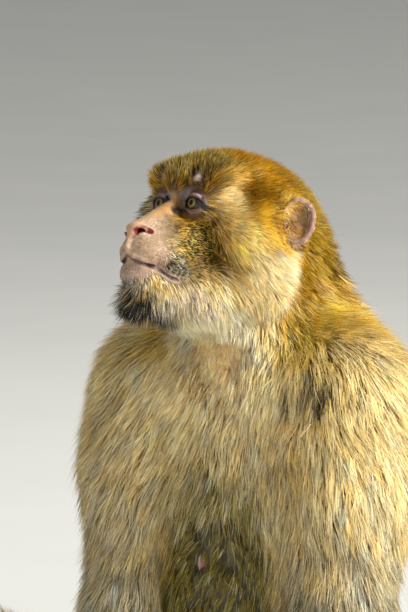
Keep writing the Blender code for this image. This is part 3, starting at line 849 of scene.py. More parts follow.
def head_brushes():
    head = SKULL
    straw, cream = (0.88, 0.66, 0.25), (0.74, 0.61, 0.31)
    lips, nostril = on_flesh(MOUTH, lip_masses()), on_flesh(NOSTRIL)
    return [
        # The crown.
        Brush(head, (0, -18, 6), (66, 70, 58), root=(0.10, 0.05, 0.003), tip=(0.54, 0.26, 0.004),
              dark=0.20, pale=0.03, hair=11, width=0.34, thick=330, band=0.55),
        # The face's short hair.
        Brush(head, (0, -80, -30), (40, 48, 40), hair=6, width=0.26, thick=330),
        # The back of the head.
        Brush(head, (0, 26, 18), (60, 46, 46), root=(0.08, 0.045, 0.003), tip=(0.42, 0.25, 0.010),
              dark=0.28),
        # The ticked brow.
        Brush(head, (0, -66, 32), (34, 18, 17), root=(0.014, 0.009, 0.003), tip=(0.95, 0.62, 0.11),
              dark=0.42, pale=0.10, rise=1.15, hair=9, band=0.12, width=0.38, thick=220),
        # The golden temple.
        Brush(head, (52, -36, 3), (16, 20, 20), soft=0.4, root=(0.66, 0.38, 0.025),
              tip=(0.96, 0.61, 0.04), dark=0.02, pale=0.0),
        # The cheek behind the dark patch.
        Brush(head, (44, -52, -14), (14, 20, 15), soft=0.4, root=(0.62, 0.44, 0.11),
              tip=(0.98, 0.80, 0.26), dark=0.02),
        # The straw band from the brow to the cheek.
        Brush(head, (36, -63, 0), (10, 15, 19), soft=0.5, root=(0.50, 0.35, 0.12), tip=straw, dark=0.05,
              pale=0.2, band=0.6),
        # The ruff, upper and lower.
        Brush(head, (52, -16, -32), (26, 40, 20), root=(0.56, 0.42, 0.20), tip=cream, dark=0.0,
              pale=0.25, hair=15, width=0.36, thick=290, band=0.62),
        Brush(head, (44, -32, -50), (32, 36, 20), root=(0.46, 0.33, 0.125), tip=(0.68, 0.51, 0.21),
              dark=0.03, pale=0.25, hair=16, width=0.38, thick=250, band=0.62),
        # The pale hair under the jaw.
        Brush(head, (0, -46, -68), (44, 56, 24), root=(0.70, 0.56, 0.32), tip=(0.99, 0.88, 0.60),
              dark=0.04, pale=0.4, hair=18, width=0.42, thick=190, band=0.62),
        # The dark cheek with its golden bristles.
        Brush(head, (31, -71, -20), (17, 17, 23.5), root=(0.012, 0.007, 0.003), tip=(0.99, 0.61, 0.095),
              dark=0.36, pale=0.10, hair=4.0, width=0.5, thick=170, band=0.34, mess=0.5, rise=1.25),
        # The pale bristles below it.
        Brush(head, (24, -84, -39), (13, 13, 9.5), root=(0.028, 0.016, 0.008), tip=(0.98, 0.86, 0.58),
              dark=0.30, hair=4.0, width=0.48, band=0.34, mess=0.5, thick=160, rise=1.2),
        # Behind the mouth.
        Brush(head, (26, -68, -55), (20, 22, 10), root=(0.28, 0.21, 0.12), tip=(0.74, 0.60, 0.38),
              dark=0.10, hair=11, band=0.5),
        # The muzzle and the bridge of the nose.
        Brush(head, (0, -96, -26), (20, 21, 26), skin=(0.43, 0.29, 0.19), thick=240, hair=1.7,
              width=0.19, root=(0.24, 0.15, 0.09), tip=(0.56, 0.40, 0.27), dark=0.38, pale=0.15,
              rise=0.6, band=0.6),
        Brush(head, (0, -78, 0), (8, 24, 12), skin=(0.38, 0.22, 0.09), thick=60, hair=1.4, width=0.17),
        # The bare skin about the eye: its own brown and lilac, darkened as painted shade, with deeper
        # painted shade under the brow and in the inner corner.
        Brush(head, (15, -69, 5.5), (12.5, 12, 10.5), skin=(0.15, 0.078, 0.045), thick=0),
        Brush(head, (18, -66, 16), (15, 9, 4.5), skin=(0.12, 0.062, 0.035)),
        Brush(head, (9, -72, 10), (4.5, 7, 4.5), skin=(0.22, 0.165, 0.17)),
        Brush(head, (7.5, -71, 0.8), (5.0, 7, 3.0), soft=0.5, skin=(0.022, 0.013, 0.014)),
        # The lids: pale edges, dark lines, and painted shade in the folds above and below.
        Stroke(head, lid_arc(1, 33, 12.2), 1.1, skin=(0.33, 0.26, 0.28)),
        Stroke(head, lid_arc(1, 20, 11.2), 1.5, skin=(0.006, 0.005, 0.005)),
        Stroke(head, lid_arc(1, 44, 13.0), 1.3, skin=(0.03, 0.018, 0.02)),
        Stroke(head, lid_arc(1, -30, 12.0), 0.8, skin=(0.26, 0.19, 0.17)),
        Stroke(head, lid_arc(1, -20, 11.0), 1.3, skin=(0.012, 0.008, 0.007)),
        Stroke(head, lid_arc(1, -40, 13.0), 0.8, skin=(0.04, 0.02, 0.015)),
        Stroke(head, ((25, -67, 3), (32, -61, 0)), 2.2, skin=(0.02, 0.012, 0.010), thick=60),
        # The short hair over the lid.
        Brush(head, (19, -71, 17), (9, 8, 4), hair=4),
        # The bare spot over the brow, its own pale pink made brighter as painted light.
        Brush(head, (15, -74, 22.5), (6.2, 8, 4.8), skin=(0.90, 0.66, 0.60), thick=70, hair=2.6,
              root=(0.34, 0.22, 0.16), tip=(0.72, 0.56, 0.40), width=0.2, dark=0.1),
        # The nose and its nostrils, their dark red partly their own colour and partly painted shade in
        # the holes.
        Brush(head, (0, -104, -17), (8.5, 8, 6), skin=(0.46, 0.26, 0.17), thick=0),
        Stroke(head, nostril, 2.4, soft=0.14, skin=(0.11, 0.008, 0.006), thick=0),
        Brush(head, (4.6, -98.6, -19), (3.0, 5.4, 3.0), soft=0.14, skin=(0.11, 0.008, 0.006), thick=0),
        # The lips and the chin, and the line of the mouth darkened as painted shade in its crease.
        Stroke(head, lips, 3.0, soft=0.4, skin=(0.33, 0.21, 0.155), thick=70, hair=1.4, width=0.16),
        Brush(head, (0, -101, -46), (17, 14, 6.5), skin=(0.31, 0.20, 0.145), thick=130, hair=3.2,
              width=0.2, root=(0.30, 0.20, 0.14), tip=(0.80, 0.70, 0.56), dark=0.1, band=0.5),
        Stroke(head, lips, 2.2, thick=0),
        Stroke(head, lips, 1.3, soft=0.4, skin=(0.022, 0.012, 0.009)),
        # The beard.
        Brush(head, (0, -93, -61.5), (21, 25, 11), root=(0.006, 0.005, 0.003), tip=(0.04, 0.033, 0.02),
              dark=0.4, pale=0.12, hair=21, width=0.36, thick=280, rise=1.8, skin=(0.02, 0.015, 0.012)),
        # The fringe of the far temple, darkened on this side only as painted shade.
        Brush(head, (-40, -56, 4), (13, 11, 24), both=False, root=(0.012, 0.008, 0.003),
              tip=(0.26, 0.20, 0.08), dark=0.45, rise=2.6, hair=17, width=0.4),
        # The hair before the ear.
        Brush(head, (46, -22, 5), (8, 11, 17), root=(0.40, 0.23, 0.03), tip=(0.90, 0.60, 0.12), hair=14,
              rise=1.35, thick=300, width=0.3),
        # The ear, its hollow with its own colour brightened as painted light and painted shade at its
        # deepest, and its blotches.
        Brush(head, (55, -6, 4), (10, 16, 18), skin=(0.29, 0.185, 0.145), thick=240, hair=3.4,
              width=0.22, root=(0.30, 0.17, 0.09), tip=(0.68, 0.46, 0.26), dark=0.25),
        Brush(head, (50, -13, 3), (8, 9, 12), skin=(0.44, 0.26, 0.17), thick=100, hair=7,
              tip=(0.80, 0.48, 0.12)),
        Brush(head, (48, -15, -1), (7, 7, 9), soft=0.5, skin=(0.07, 0.028, 0.016), thick=50),
        *[
            Brush(head, (58, y, z), (7, 3.6, 3.2), soft=0.8, skin=(0.17, 0.09, 0.075))
            for y, z in ((-5, 14), (3, 6), (0, -5), (-7, -10))
        ],
        # The bare throat, its own tan made paler as painted light.
        Brush(BODY, (-3, -62, 359), (17, 34, 28), soft=0.5, both=False, skin=(0.96, 0.66, 0.31),
              thick=150, hair=9, width=0.26, root=(0.84, 0.57, 0.26), tip=(0.98, 0.76, 0.40), dark=0.0,
              pale=0.15, rise=0.5),
    ]


BRUSHES = body_brushes() + limb_end_brushes() + head_brushes()


def waves(points, size, seed):
    """A smooth uneven value from -1 to 1 that changes over about this many millimetres."""
    rng = np.random.default_rng(seed)
    total = np.zeros(len(points))
    for _ in range(5):
        axis = rng.normal(size=3)
        axis *= rng.uniform(0.7, 1.4) / np.linalg.norm(axis)
        total += np.sin(points @ axis / (size * MM) * math.pi + rng.uniform(0, 6.28))
    return total / 3.5


def painted(points):
    """All the markings at these points."""
    marks = {name: np.tile(value, (len(points), 1)) for name, value in PLAIN.items()}
    ripple = 0.6 * waves(points, 9, 3) + 0.4 * waves(points, 3.5, 4)
    for brush in BRUSHES:
        share = brush.weight(points, ripple)
        near = np.nonzero(share > 0.0)[0]
        for name, value in brush.marks.items():
            goal = np.atleast_1d(value)
            marks[name][near] += share[near, None] * (goal - marks[name][near])
    return marks


# -------------------------------------------------------------------- the lie


def lies():
    """Which way the hair lies at some places: place, point, reach and direction."""
    head = [
        ((0, -96, -17), 12, (0, 1, 0.3)),
        ((20, -88, -30), 12, (0.5, 1, -0.1)),
        ((0, -103, -42), 6, (0, 0.2, -1)),
        ((0, -98, -58), 10, (0, -0.8, -1)),
        ((0, -84, -64), 11, (0, -0.4, -1)),
        ((30, -58, -20), 14, (0.4, 1, -0.35)),
        ((18, -66, -10), 8, (0.8, 0.6, -0.4)),
        ((0, -66, 18), 9, (0, 0.1, 1)),
        ((20, -62, 18), 9, (0.25, 0.15, 1)),
        ((0, -52, 34), 14, (0, 0.8, 0.6)),
        ((22, -46, 32), 14, (0.2, 0.9, 0.4)),
        ((0, -10, 48), 20, (0, 1, 0)),
        ((25, -10, 40), 18, (0.15, 1, -0.1)),
        ((38, -44, 6), 12, (0.3, 1, -0.15)),
        ((45, -20, 15), 14, (0.1, 1, -0.3)),
        ((44, 14, 5), 16, (0, 0.7, -0.8)),
        ((0, 35, 15), 20, (0, 0.5, -1)),
        ((40, -28, -25), 14, (0.35, 0.8, -0.75)),
        ((25, -45, -50), 14, (0.2, 0.65, -0.8)),
        ((0, -40, -62), 16, (0, 0.35, -1)),
    ]
    body = [
        ((0, 50, 380), 32, (0, 0.45, -1)),
        ((45, 15, 370), 30, (0.5, 0.3, -1)),
        ((0, -40, 360), 25, (0, -0.15, -1)),
        ((62, 0, 350), 30, (0.6, 0.1, -1)),
        ((0, -70, 290), 30, (0, -0.05, -1)),
        ((42, -60, 285), 30, (0.5, -0.1, -1)),
        ((0, -60, 190), 40, (0, 0, -1)),
        ((70, 0, 200), 40, (0.1, 0.1, -1)),
        ((0, 80, 290), 50, (0, 0.2, -1)),
        ((0, 90, 190), 50, (0, 0.05, -1)),
        ((0, 95, 100), 50, (0, 0.1, -1)),
        ((45, 80, 60), 30, (0.3, 0.3, -0.8)),
    ]
    found = []
    for place, rows in ((SKULL, head), (BODY, body)):
        for (x, y, z), reach, (across, back, up) in rows:
            for side in {1, -1} if x else {1}:
                start = place.point(x * side, y, z)
                found.append((start, start, reach * MM, place.direction(across * side, back, up)))
    temple = SKULL.point(-40, -54, 4)
    found.append((temple, temple, 0.008, SKULL.direction(-0.6, -1, -0.1)))
    for side in SIDES:
        shoulder, wrist, bend = mirrored(SHOULDER, side), mirrored(WRIST, side), elbow(side)
        hip, ankle, fold = mirrored(HIP, side), mirrored(ANKLE, side), knee(side)
        outward = Vector((side * 0.12, 0.12, -0.5))
        found.append((shoulder, bend, 0.024, (bend - shoulder).normalized() + outward))
        found.append((bend, wrist, 0.022, (wrist - bend).normalized() + outward * 0.5))
        found.append((hip, fold, 0.030, (fold - hip).normalized() + Vector((0, 0.5, -0.6))))
        found.append((fold, ankle, 0.022, (ankle - fold).normalized() + Vector((0, 0.3, -0.4))))
        for place, end in ((HANDS[side], (0, -80, 10)), (FEET[side], (0, -110, 10))):
            start = place.point(0, 10, 20)
            found.append((start, place.point(*end), 0.022, place.direction(0, -1, -0.1)))
    return found


LIES = lies()


def lie(points):
    """The direction in which the hair lies at each point."""
    total = np.zeros((len(points), 3))
    for start, end, reach, way in LIES:
        away = off_line(points, np.array(start), np.array(end - start))
        total += np.exp(-away / reach)[:, None] * np.array(way.normalized())
    return unit(total)


# ------------------------------------------------------------------- the coat


def rooted(points, faces, uv, rng):
    """Roots over the skin, as thick as the markings ask, with their place on the unwrap."""
    corners = points[faces]
    normal = np.cross(corners[:, 1] - corners[:, 0], corners[:, 2] - corners[:, 0])
    area = np.linalg.norm(normal, axis=1) / 2
    thick = painted(corners.mean(axis=1))["thick"][:, 0] * 1e4
    counts = rng.poisson(area * thick)
    chosen = np.repeat(np.arange(len(faces)), counts)
    a, b = rng.random((2, len(chosen), 1))
    flip = a + b > 1
    a, b = np.where(flip, 1 - a, a), np.where(flip, 1 - b, b)
    at = corners[chosen]
    spots = at[:, 0] + a * (at[:, 1] - at[:, 0]) + b * (at[:, 2] - at[:, 0])
    flat = uv[chosen]
    places = flat[:, 0] + a * (flat[:, 1] - flat[:, 0]) + b * (flat[:, 2] - flat[:, 0])
    return spots, places


def turned(vectors, axes, angles):
    """Vectors turned about axes at right angles to them."""
    return vectors * np.cos(angles)[:, None] + np.cross(axes, vectors) * np.sin(angles)[:, None]


# The share of hairs that leave the lie, how much longer they are and how much higher they rise.
STRAYS, STRAY_LENGTH, STRAY_RISE = 0.08, 1.12, 1.3
# Where a hair bends, as a share of its length, and how much of its rise it has there.
BEND_SHARE, BEND_RISE = 0.45, 0.66
# In millimetres: how deep a root is set, the thinnest coat, and the least height over the floor.
ROOT_DEPTH, THINNEST, FLOOR_GAP = 0.4, 0.7, 0.5
# The steepest that a hair stands, as the share of its length that goes into its rise.
STEEPEST = 0.86


def combed(roots, marks, coating, rng):
    """The path of each hair: along the lie, rising off the skin to the coat's outline."""
    count = len(roots)
    length = marks["hair"][:, 0] * MM * rng.uniform(0.72, 1.12, count)
    rise = marks["rise"][:, 0] * rng.uniform(0.55, 1.04, count)
    stray = rng.random(count) < STRAYS
    rise[stray] *= STRAY_RISE
    length[stray] *= STRAY_LENGTH
    sway = rng.normal(0, 0.10, count) * np.where(stray, 3.0, 1.0)
    sway += 0.20 * waves(roots, 13, 7) + 0.12 * waves(roots, 5, 8)
    sway += rng.normal(0, 1.0, count) * marks["mess"][:, 0]
    path = [roots - coating.at(roots)[2] * ROOT_DEPTH * MM]
    here, reached = roots, 0.0
    for share, lift in ((BEND_SHARE, BEND_RISE), (1.0, 1.0)):
        out = coating.at(here)[2]
        way = lie(here)
        way = unit(way - (way * out).sum(axis=1)[:, None] * out)
        way = turned(way, out, sway * share)
        depth = np.clip(coating.at(here + way * (length * 0.3)[:, None])[1], THINNEST * MM, None)
        want = np.minimum(depth * rise, length * STEEPEST) * lift
        ahead = np.sqrt(np.maximum((length * share) ** 2 - want**2, (length * share * 0.3) ** 2))
        there = here + way * (ahead - reached)[:, None]
        height, _, out = coating.at(there)
        here = there + out * (want - height)[:, None]
        here[:, 2] = np.maximum(here[:, 2], FLOOR_GAP * MM)
        reached = ahead
        path.append(here)
    return np.stack(path, axis=1)


def gathered(path, leading, pull, rng):
    """Draws hairs to their nearest leader, so that their tips meet in locks.

    leading is the share of the hairs that lead, and pull how far the others' tips are drawn.
    Returns the new paths and the number of each hair's leader.
    """
    roots = path[:, 0]
    leaders = rng.choice(len(roots), max(1, int(len(roots) * leading)), replace=False)
    tree = KDTree(len(leaders))
    for number, root in enumerate(roots[leaders].tolist()):
        tree.insert(root, number)
    tree.balance()
    own = np.array([tree.find(root)[1] for root in roots.tolist()])
    ahead = path[leaders][own]
    share = pull * np.array([0.0, 0.40, 1.0])[None, :, None]
    share = share * rng.uniform(0.5, 1.3, len(path))[:, None, None]
    return path + share * (ahead - path), own


# The side of each tuft's patch on the unwrap.
PATCH = 0.003


def tuft_mesh(path, width, colours, places, curved):
    """Closed slivers along the paths. A curved one has a ring of three points at its bend."""
    root, bend, tip = path[:, 0], path[:, 1], path[:, 2]
    line = unit(tip - root)
    along = ((bend - root) * line).sum(axis=1)[:, None]
    ridge = bend - root - along * line
    ridge = unit(ridge + 1e-8)
    across = np.cross(line, ridge) * (width / 2)[:, None]
    if curved:
        under = bend - ridge * (width * 0.5)[:, None]
        points, shades = [root, bend - across, bend + across, under, tip], [0, 1, 1, 1, 2]
        faces = [(0, 1, 2), (0, 2, 3), (0, 3, 1), (1, 4, 2), (2, 4, 3), (3, 4, 1)]
        spread = [(-0.5, 0.0), (0.0, -0.5), (0.0, 0.5), (0.0, 0.0), (0.5, 0.0)]
    else:
        bend = root + along * line + ridge * (width * 0.4)[:, None]
        points, shades = [root, bend - across, bend + across, tip], [0, 1, 1, 2]
        faces = [(0, 1, 2), (1, 3, 2), (0, 3, 1), (0, 2, 3)]
        spread = [(-0.5, 0.0), (0.0, -0.5), (0.0, 0.5), (0.5, 0.0)]
    faces = np.array(faces)[None] + (np.arange(len(path)) * len(points))[:, None, None]
    uv = places[:, None] + np.array(spread)[None] * PATCH
    points = np.stack(points, axis=1)
    colours = colours[:, shades].reshape(-1, 3)
    return points.reshape(-1, 3), faces.reshape(-1, 3), colours, uv.reshape(-1, 2)


# What a pale hair is drawn towards, and how much of the tip's colour a dark hair keeps.
CREAM = (0.88, 0.78, 0.58)
DARK_TIP = 0.20


def shaded(marks, own, rng):
    """The colours along each hair, from root to tip, with dark and pale hairs among them."""
    count = len(own)
    root, tip = marks["root"], marks["tip"]
    lock = np.exp(rng.normal(0, 0.15, own.max() + 1))[own]
    warm = rng.normal(0, 0.06, own.max() + 1)[own]
    dark = rng.random(count) < marks["dark"][:, 0]
    pale = rng.random(count) < marks["pale"][:, 0]
    rows = []
    for share in (np.zeros_like(marks["band"]), marks["band"], np.ones_like(marks["band"])):
        colour = root + (tip - root) * share
        colour = np.where(dark[:, None], root + (tip * DARK_TIP - root) * share, colour)
        cream = colour + (np.array(CREAM) - colour) * 0.55 * share
        colour = np.where(pale[:, None], cream, colour)
        rows.append(colour)
    colours = np.stack(rows, axis=1) * (lock * np.exp(rng.normal(0, 0.14, count)))[:, None, None]
    colours[..., 0] *= (1 + warm)[:, None]
    colours[..., 2] *= (1 - 2.0 * warm)[:, None]
    return np.clip(colours, 0.002, 0.98)


# ----------------------------------------------------------------- making meshes


def shown(name, points, faces, colours=None, uv=None, material=None, smooth=True):
    """A mesh object from arrays. uv has a value for each corner of each face."""
    mesh = bpy.data.meshes.new(name)
    mesh.vertices.add(len(points))
    mesh.vertices.foreach_set("co", np.ascontiguousarray(points, np.float32).ravel())
    mesh.loops.add(faces.size)
    mesh.loops.foreach_set("vertex_index", np.ascontiguousarray(faces, np.int32).ravel())
    mesh.polygons.add(len(faces))
    mesh.polygons.foreach_set("loop_start", np.arange(0, faces.size, 3, dtype=np.int32))
    mesh.update(calc_edges=True)
    mesh.polygons.foreach_set("use_smooth", np.full(len(faces), smooth))
    if colours is not None:
        layer = mesh.attributes.new("marking", "FLOAT_COLOR", "POINT")
        full = np.concatenate([colours, np.ones((len(colours), 1))], axis=1)
        layer.data.foreach_set("color", full.astype(np.float32).ravel())
    if uv is not None:
        layer = mesh.uv_layers.new(name="OFBake")
        layer.data.foreach_set("uv", uv.astype(np.float32).ravel())
    obj = bpy.data.objects.new(name, mesh)
    bpy.context.scene.collection.objects.link(obj)
    if material:
        mesh.materials.append(material)
    return obj


def unwrapped(obj):
    """Unwraps the skin and returns the place of each face's corners on the unwrap."""
    obj.data.uv_layers.new(name="OFBake")
    bpy.context.view_layer.objects.active = obj
    obj.select_set(True)
    bpy.ops.object.mode_set(mode="EDIT")
    bpy.ops.mesh.select_all(action="SELECT")
    bpy.ops.uv.smart_project(angle_limit=math.radians(75), island_margin=0.0015)
    bpy.ops.object.mode_set(mode="OBJECT")
    uv = np.zeros(len(obj.data.loops) * 2, np.float32)
    obj.data.uv_layers["OFBake"].data.foreach_get("uv", uv)
    return uv.reshape(-1, 3, 2)


# -------------------------------------------------------------------- finishes


def finish(name, roughness, **sockets):
    """A new material, its tree, its shader, and a Texture Coordinate node."""
    material = bpy.data.materials.new(name)
    material.use_nodes = True
    tree = material.node_tree
    shader = tree.nodes["Principled BSDF"]
    shader.inputs["Roughness"].default_value = roughness
    for socket, value in sockets.items():
        shader.inputs[socket.replace("_", " ")].default_value = value
    return material, tree, shader, tree.nodes.new("ShaderNodeTexCoord")


def noise(tree, coordinates, scale, detail=2.0, kind="ShaderNodeTexNoise"):
    made = tree.nodes.new(kind)
    made.inputs["Scale"].default_value = scale
    if "Detail" in made.inputs:
        made.inputs["Detail"].default_value = detail
    tree.links.new(coordinates.outputs["Object"], made.inputs["Vector"])
    return made


def span(tree, value, low, high):
    """A value of 0 to 1 brought to another range."""
    made = tree.nodes.new("ShaderNodeMapRange")
    made.inputs["To Min"].default_value = low
    made.inputs["To Max"].default_value = high
    tree.links.new(value, made.inputs["Value"])
    return made.outputs["Result"]


def scaled(tree, colour, value):
    """A colour made lighter or darker by a value."""
    made = tree.nodes.new("ShaderNodeVectorMath")
    made.operation = "SCALE"
    tree.links.new(colour, made.inputs[0])
    tree.links.new(value, made.inputs["Scale"])
    return made.outputs[0]


def bumped(tree, shader, height, strength, distance):
    made = tree.nodes.new("ShaderNodeBump")
    made.inputs["Strength"].default_value = strength
    made.inputs["Distance"].default_value = distance
    tree.links.new(height, made.inputs["Height"])
    tree.links.new(made.outputs["Normal"], shader.inputs["Normal"])


def marking(tree):
    made = tree.nodes.new("ShaderNodeAttribute")
    made.attribute_name = "marking"
    return made.outputs["Color"]


def fur_finish(name, roughness):
    material, tree, shader, coordinates = finish(name, roughness, Specular_IOR_Level=0.12)
    broad = noise(tree, coordinates, 60.0, 3.0)
    colour = scaled(tree, marking(tree), span(tree, broad.outputs["Fac"], 0.86, 1.16))
    tree.links.new(colour, shader.inputs["Base Color"])
    fine = noise(tree, coordinates, 900.0)
    uneven = span(tree, fine.outputs["Fac"], roughness - 0.1, roughness + 0.12)
    tree.links.new(uneven, shader.inputs["Roughness"])
    return material


def skin_finish():
    material, tree, shader, coordinates = finish(
        "bare_skin", 0.5, Subsurface_Weight=0.12, Subsurface_Scale=0.004, Specular_IOR_Level=0.27
    )
    shader.inputs["Subsurface Radius"].default_value = (1.0, 0.45, 0.25)
    blotch = noise(tree, coordinates, 220.0, 4.0)
    freckle = noise(tree, coordinates, 900.0, 2.0)
    colour = scaled(tree, marking(tree), span(tree, blotch.outputs["Fac"], 0.62, 1.38))
    colour = scaled(tree, colour, span(tree, freckle.outputs["Fac"], 0.75, 1.22))
    tree.links.new(colour, shader.inputs["Base Color"])
    cells = noise(tree, coordinates, 700.0, kind="ShaderNodeTexVoronoi")
    cells.feature = "DISTANCE_TO_EDGE"
    wrinkle = noise(tree, coordinates, 420.0, 5.0)
    both = tree.nodes.new("ShaderNodeMath")
    both.operation = "MULTIPLY_ADD"
    both.inputs[1].default_value = 0.5
    tree.links.new(cells.outputs["Distance"], both.inputs[0])
    tree.links.new(wrinkle.outputs["Fac"], both.inputs[2])
    bumped(tree, shader, both.outputs[0], 0.5, 0.0006)
    tree.links.new(span(tree, wrinkle.outputs["Fac"], 0.36, 0.62), shader.inputs["Roughness"])
    return material


# ------------------------------------------------------------------- the eyes

# How far the cornea reaches round the ball, in radians, and how far it stands out, as a
# share of the radius. The rings end this many millimetres off the line of sight.
CORNEA_REACH, CORNEA_BULGE = 0.56, 0.085
RINGS_END = 10.0


def eye_finish():
    """Rings about the eye's own line of sight: pupil, amber iris, dark rim, brown white."""
    material, tree, shader, coordinates = finish("eye", 0.05, Specular_IOR_Level=0.22)
    rings = tree.nodes.new("ShaderNodeAttribute")
    rings.attribute_name = "ring"
    streak = noise(tree, coordinates, 1500.0, 3.0)
    moved = tree.nodes.new("ShaderNodeMath")
    moved.operation = "MULTIPLY_ADD"
    moved.inputs[1].default_value = 0.05
    tree.links.new(streak.outputs["Fac"], moved.inputs[0])
    tree.links.new(rings.outputs["Fac"], moved.inputs[2])
    ramp = tree.nodes.new("ShaderNodeValToRGB")
    stops = [
        (0.0, (0.002, 0.002, 0.002)),
        (0.15, (0.002, 0.002, 0.002)),
        (0.19, (0.05, 0.025, 0.008)),
        (0.26, (0.17, 0.105, 0.018)),
        (0.33, (0.20, 0.14, 0.02)),
        (0.39, (0.015, 0.010, 0.005)),
        (0.46, (0.05, 0.035, 0.03)),
        (0.60, (0.085, 0.062, 0.05)),
        (1.0, (0.10, 0.075, 0.06)),
    ]
    bands = ramp.color_ramp.elements
    while len(bands) < len(stops):
        bands.new(0.5)
    for band, (place, colour) in zip(bands, stops):
        band.position = place
        band.color = (*colour, 1.0)
    tree.links.new(moved.outputs[0], ramp.inputs["Fac"])
    tree.links.new(ramp.outputs["Color"], shader.inputs["Base Color"])
    return material


def eyeball(side, name, material):
    """A ball with the cornea's bulge on it, looking where the animal looks."""
    mesh = bmesh.new()
    bmesh.ops.create_uvsphere(mesh, u_segments=48, v_segments=40, radius=EYE_RADIUS)
    for vertex in mesh.verts:
        away = math.acos(max(-1.0, min(1.0, vertex.co.z / EYE_RADIUS)))
        bulge = max(0.0, 1.0 - (away / CORNEA_REACH) ** 2)
        vertex.co *= 1.0 + CORNEA_BULGE * bulge * bulge * (3 - 2 * bulge)
    bmesh.ops.triangulate(mesh, faces=mesh.faces)
    mesh.verts.index_update()
    points = np.array([vertex.co[:] for vertex in mesh.verts])
    faces = np.array([[vertex.index for vertex in face.verts] for face in mesh.faces])
    mesh.free()
    ring = np.hypot(points[:, 0], points[:, 1]) / RINGS_END
    ring = np.where(points[:, 2] > 0, ring, 1.0)
    aim = SKULL.direction(side * 0.03, -1, 0.04).to_track_quat("Z", "Y").to_matrix()
    world = points * MM @ np.array(aim).T + np.array(SKULL.point(EYE[0] * side, EYE[1], EYE[2]))
    obj = shown(name, world, faces, material=material)
    layer = obj.data.attributes.new("ring", "FLOAT", "POINT")
    layer.data.foreach_set("value", ring.astype(np.float32))
    return obj


# ------------------------------------------------------------------- the nails


def nail_tree():
    """Puts an arched, tapering nail on every point, turned and sized by the point's marks."""
    tree = bpy.data.node_groups.new("nail_rows", "GeometryNodeTree")
    tree.interface.new_socket("Points", in_out="INPUT", socket_type="NodeSocketGeometry")
    for name in ("Arch", "Thickness", "Tip Width"):
        tree.interface.new_socket(name, in_out="INPUT", socket_type="NodeSocketFloat")
    tree.interface.new_socket("Tip", in_out="INPUT", socket_type="NodeSocketVector")
    tree.interface.new_socket("Material", in_out="INPUT", socket_type="NodeSocketMaterial")
    tree.interface.new_socket("Geometry", in_out="OUTPUT", socket_type="NodeSocketGeometry")

    def add(kind, settings=(), **values):
        made = tree.nodes.new(kind)
        for name, value in dict(settings).items():
            setattr(made, name, value)
        for name, value in values.items():
            socket = made.inputs[int(name[1:]) if name[0] == "_" else name.replace("_", " ")]
            if isinstance(value, bpy.types.NodeSocket):
                tree.links.new(value, socket)
            else:
                socket.default_value = value
        return made.outputs

    given = tree.nodes.new("NodeGroupInput").outputs
    times, plus = {"operation": "MULTIPLY"}, {"operation": "ADD"}
    ring = add("GeometryNodeCurvePrimitiveCircle", Resolution=14, Radius=1.0)[0]
    x, y, _ = add("ShaderNodeSeparateXYZ", _0=add("GeometryNodeInputPosition")[0])
    square = add("ShaderNodeMath", times, _0=x, _1=x)[0]
    fall = add("ShaderNodeMath", times, _0=square, _1=given["Arch"])[0]
    thin = add("ShaderNodeMath", times, _0=y, _1=given["Thickness"])[0]
    bent = add("ShaderNodeCombineXYZ", X=x, Y=add("ShaderNodeMath", plus, _0=thin, _1=fall)[0])[0]
    outline = add("GeometryNodeSetPosition", Geometry=ring, Position=bent)[0]
    way = add("GeometryNodeCurveQuadraticBezier", Resolution=6, Start=(0, -0.45, 0), Middle=(0, 0.5, 0.1),
              End=given["Tip"])[0]
    upright = add("GeometryNodeSetCurveNormal", {"mode": "Z_UP"}, Curve=way)[0]
    along = add("GeometryNodeSplineParameter")[0]
    taper = add("ShaderNodeMapRange", Value=along, To_Min=1.0, To_Max=given["Tip Width"])[0]
    narrowed = add("GeometryNodeSetCurveRadius", Curve=upright, Radius=taper)[0]
    solid = add("GeometryNodeCurveToMesh", Curve=narrowed, Profile_Curve=outline, Fill_Caps=True)[0]
    vector = {"data_type": "FLOAT_VECTOR"}
    placed = add(
        "GeometryNodeInstanceOnPoints",
        Points=given["Points"],
        Instance=solid,
        Rotation=add("GeometryNodeInputNamedAttribute", vector, Name="turn")[0],
        Scale=add("GeometryNodeInputNamedAttribute", vector, Name="size")[0],
    )[0]
    real = add("GeometryNodeRealizeInstances", Geometry=placed)[0]
    finished = add("GeometryNodeSetMaterial", Geometry=real, Material=given["Material"])[0]
    add("NodeGroupOutput", Geometry=finished)
    return tree


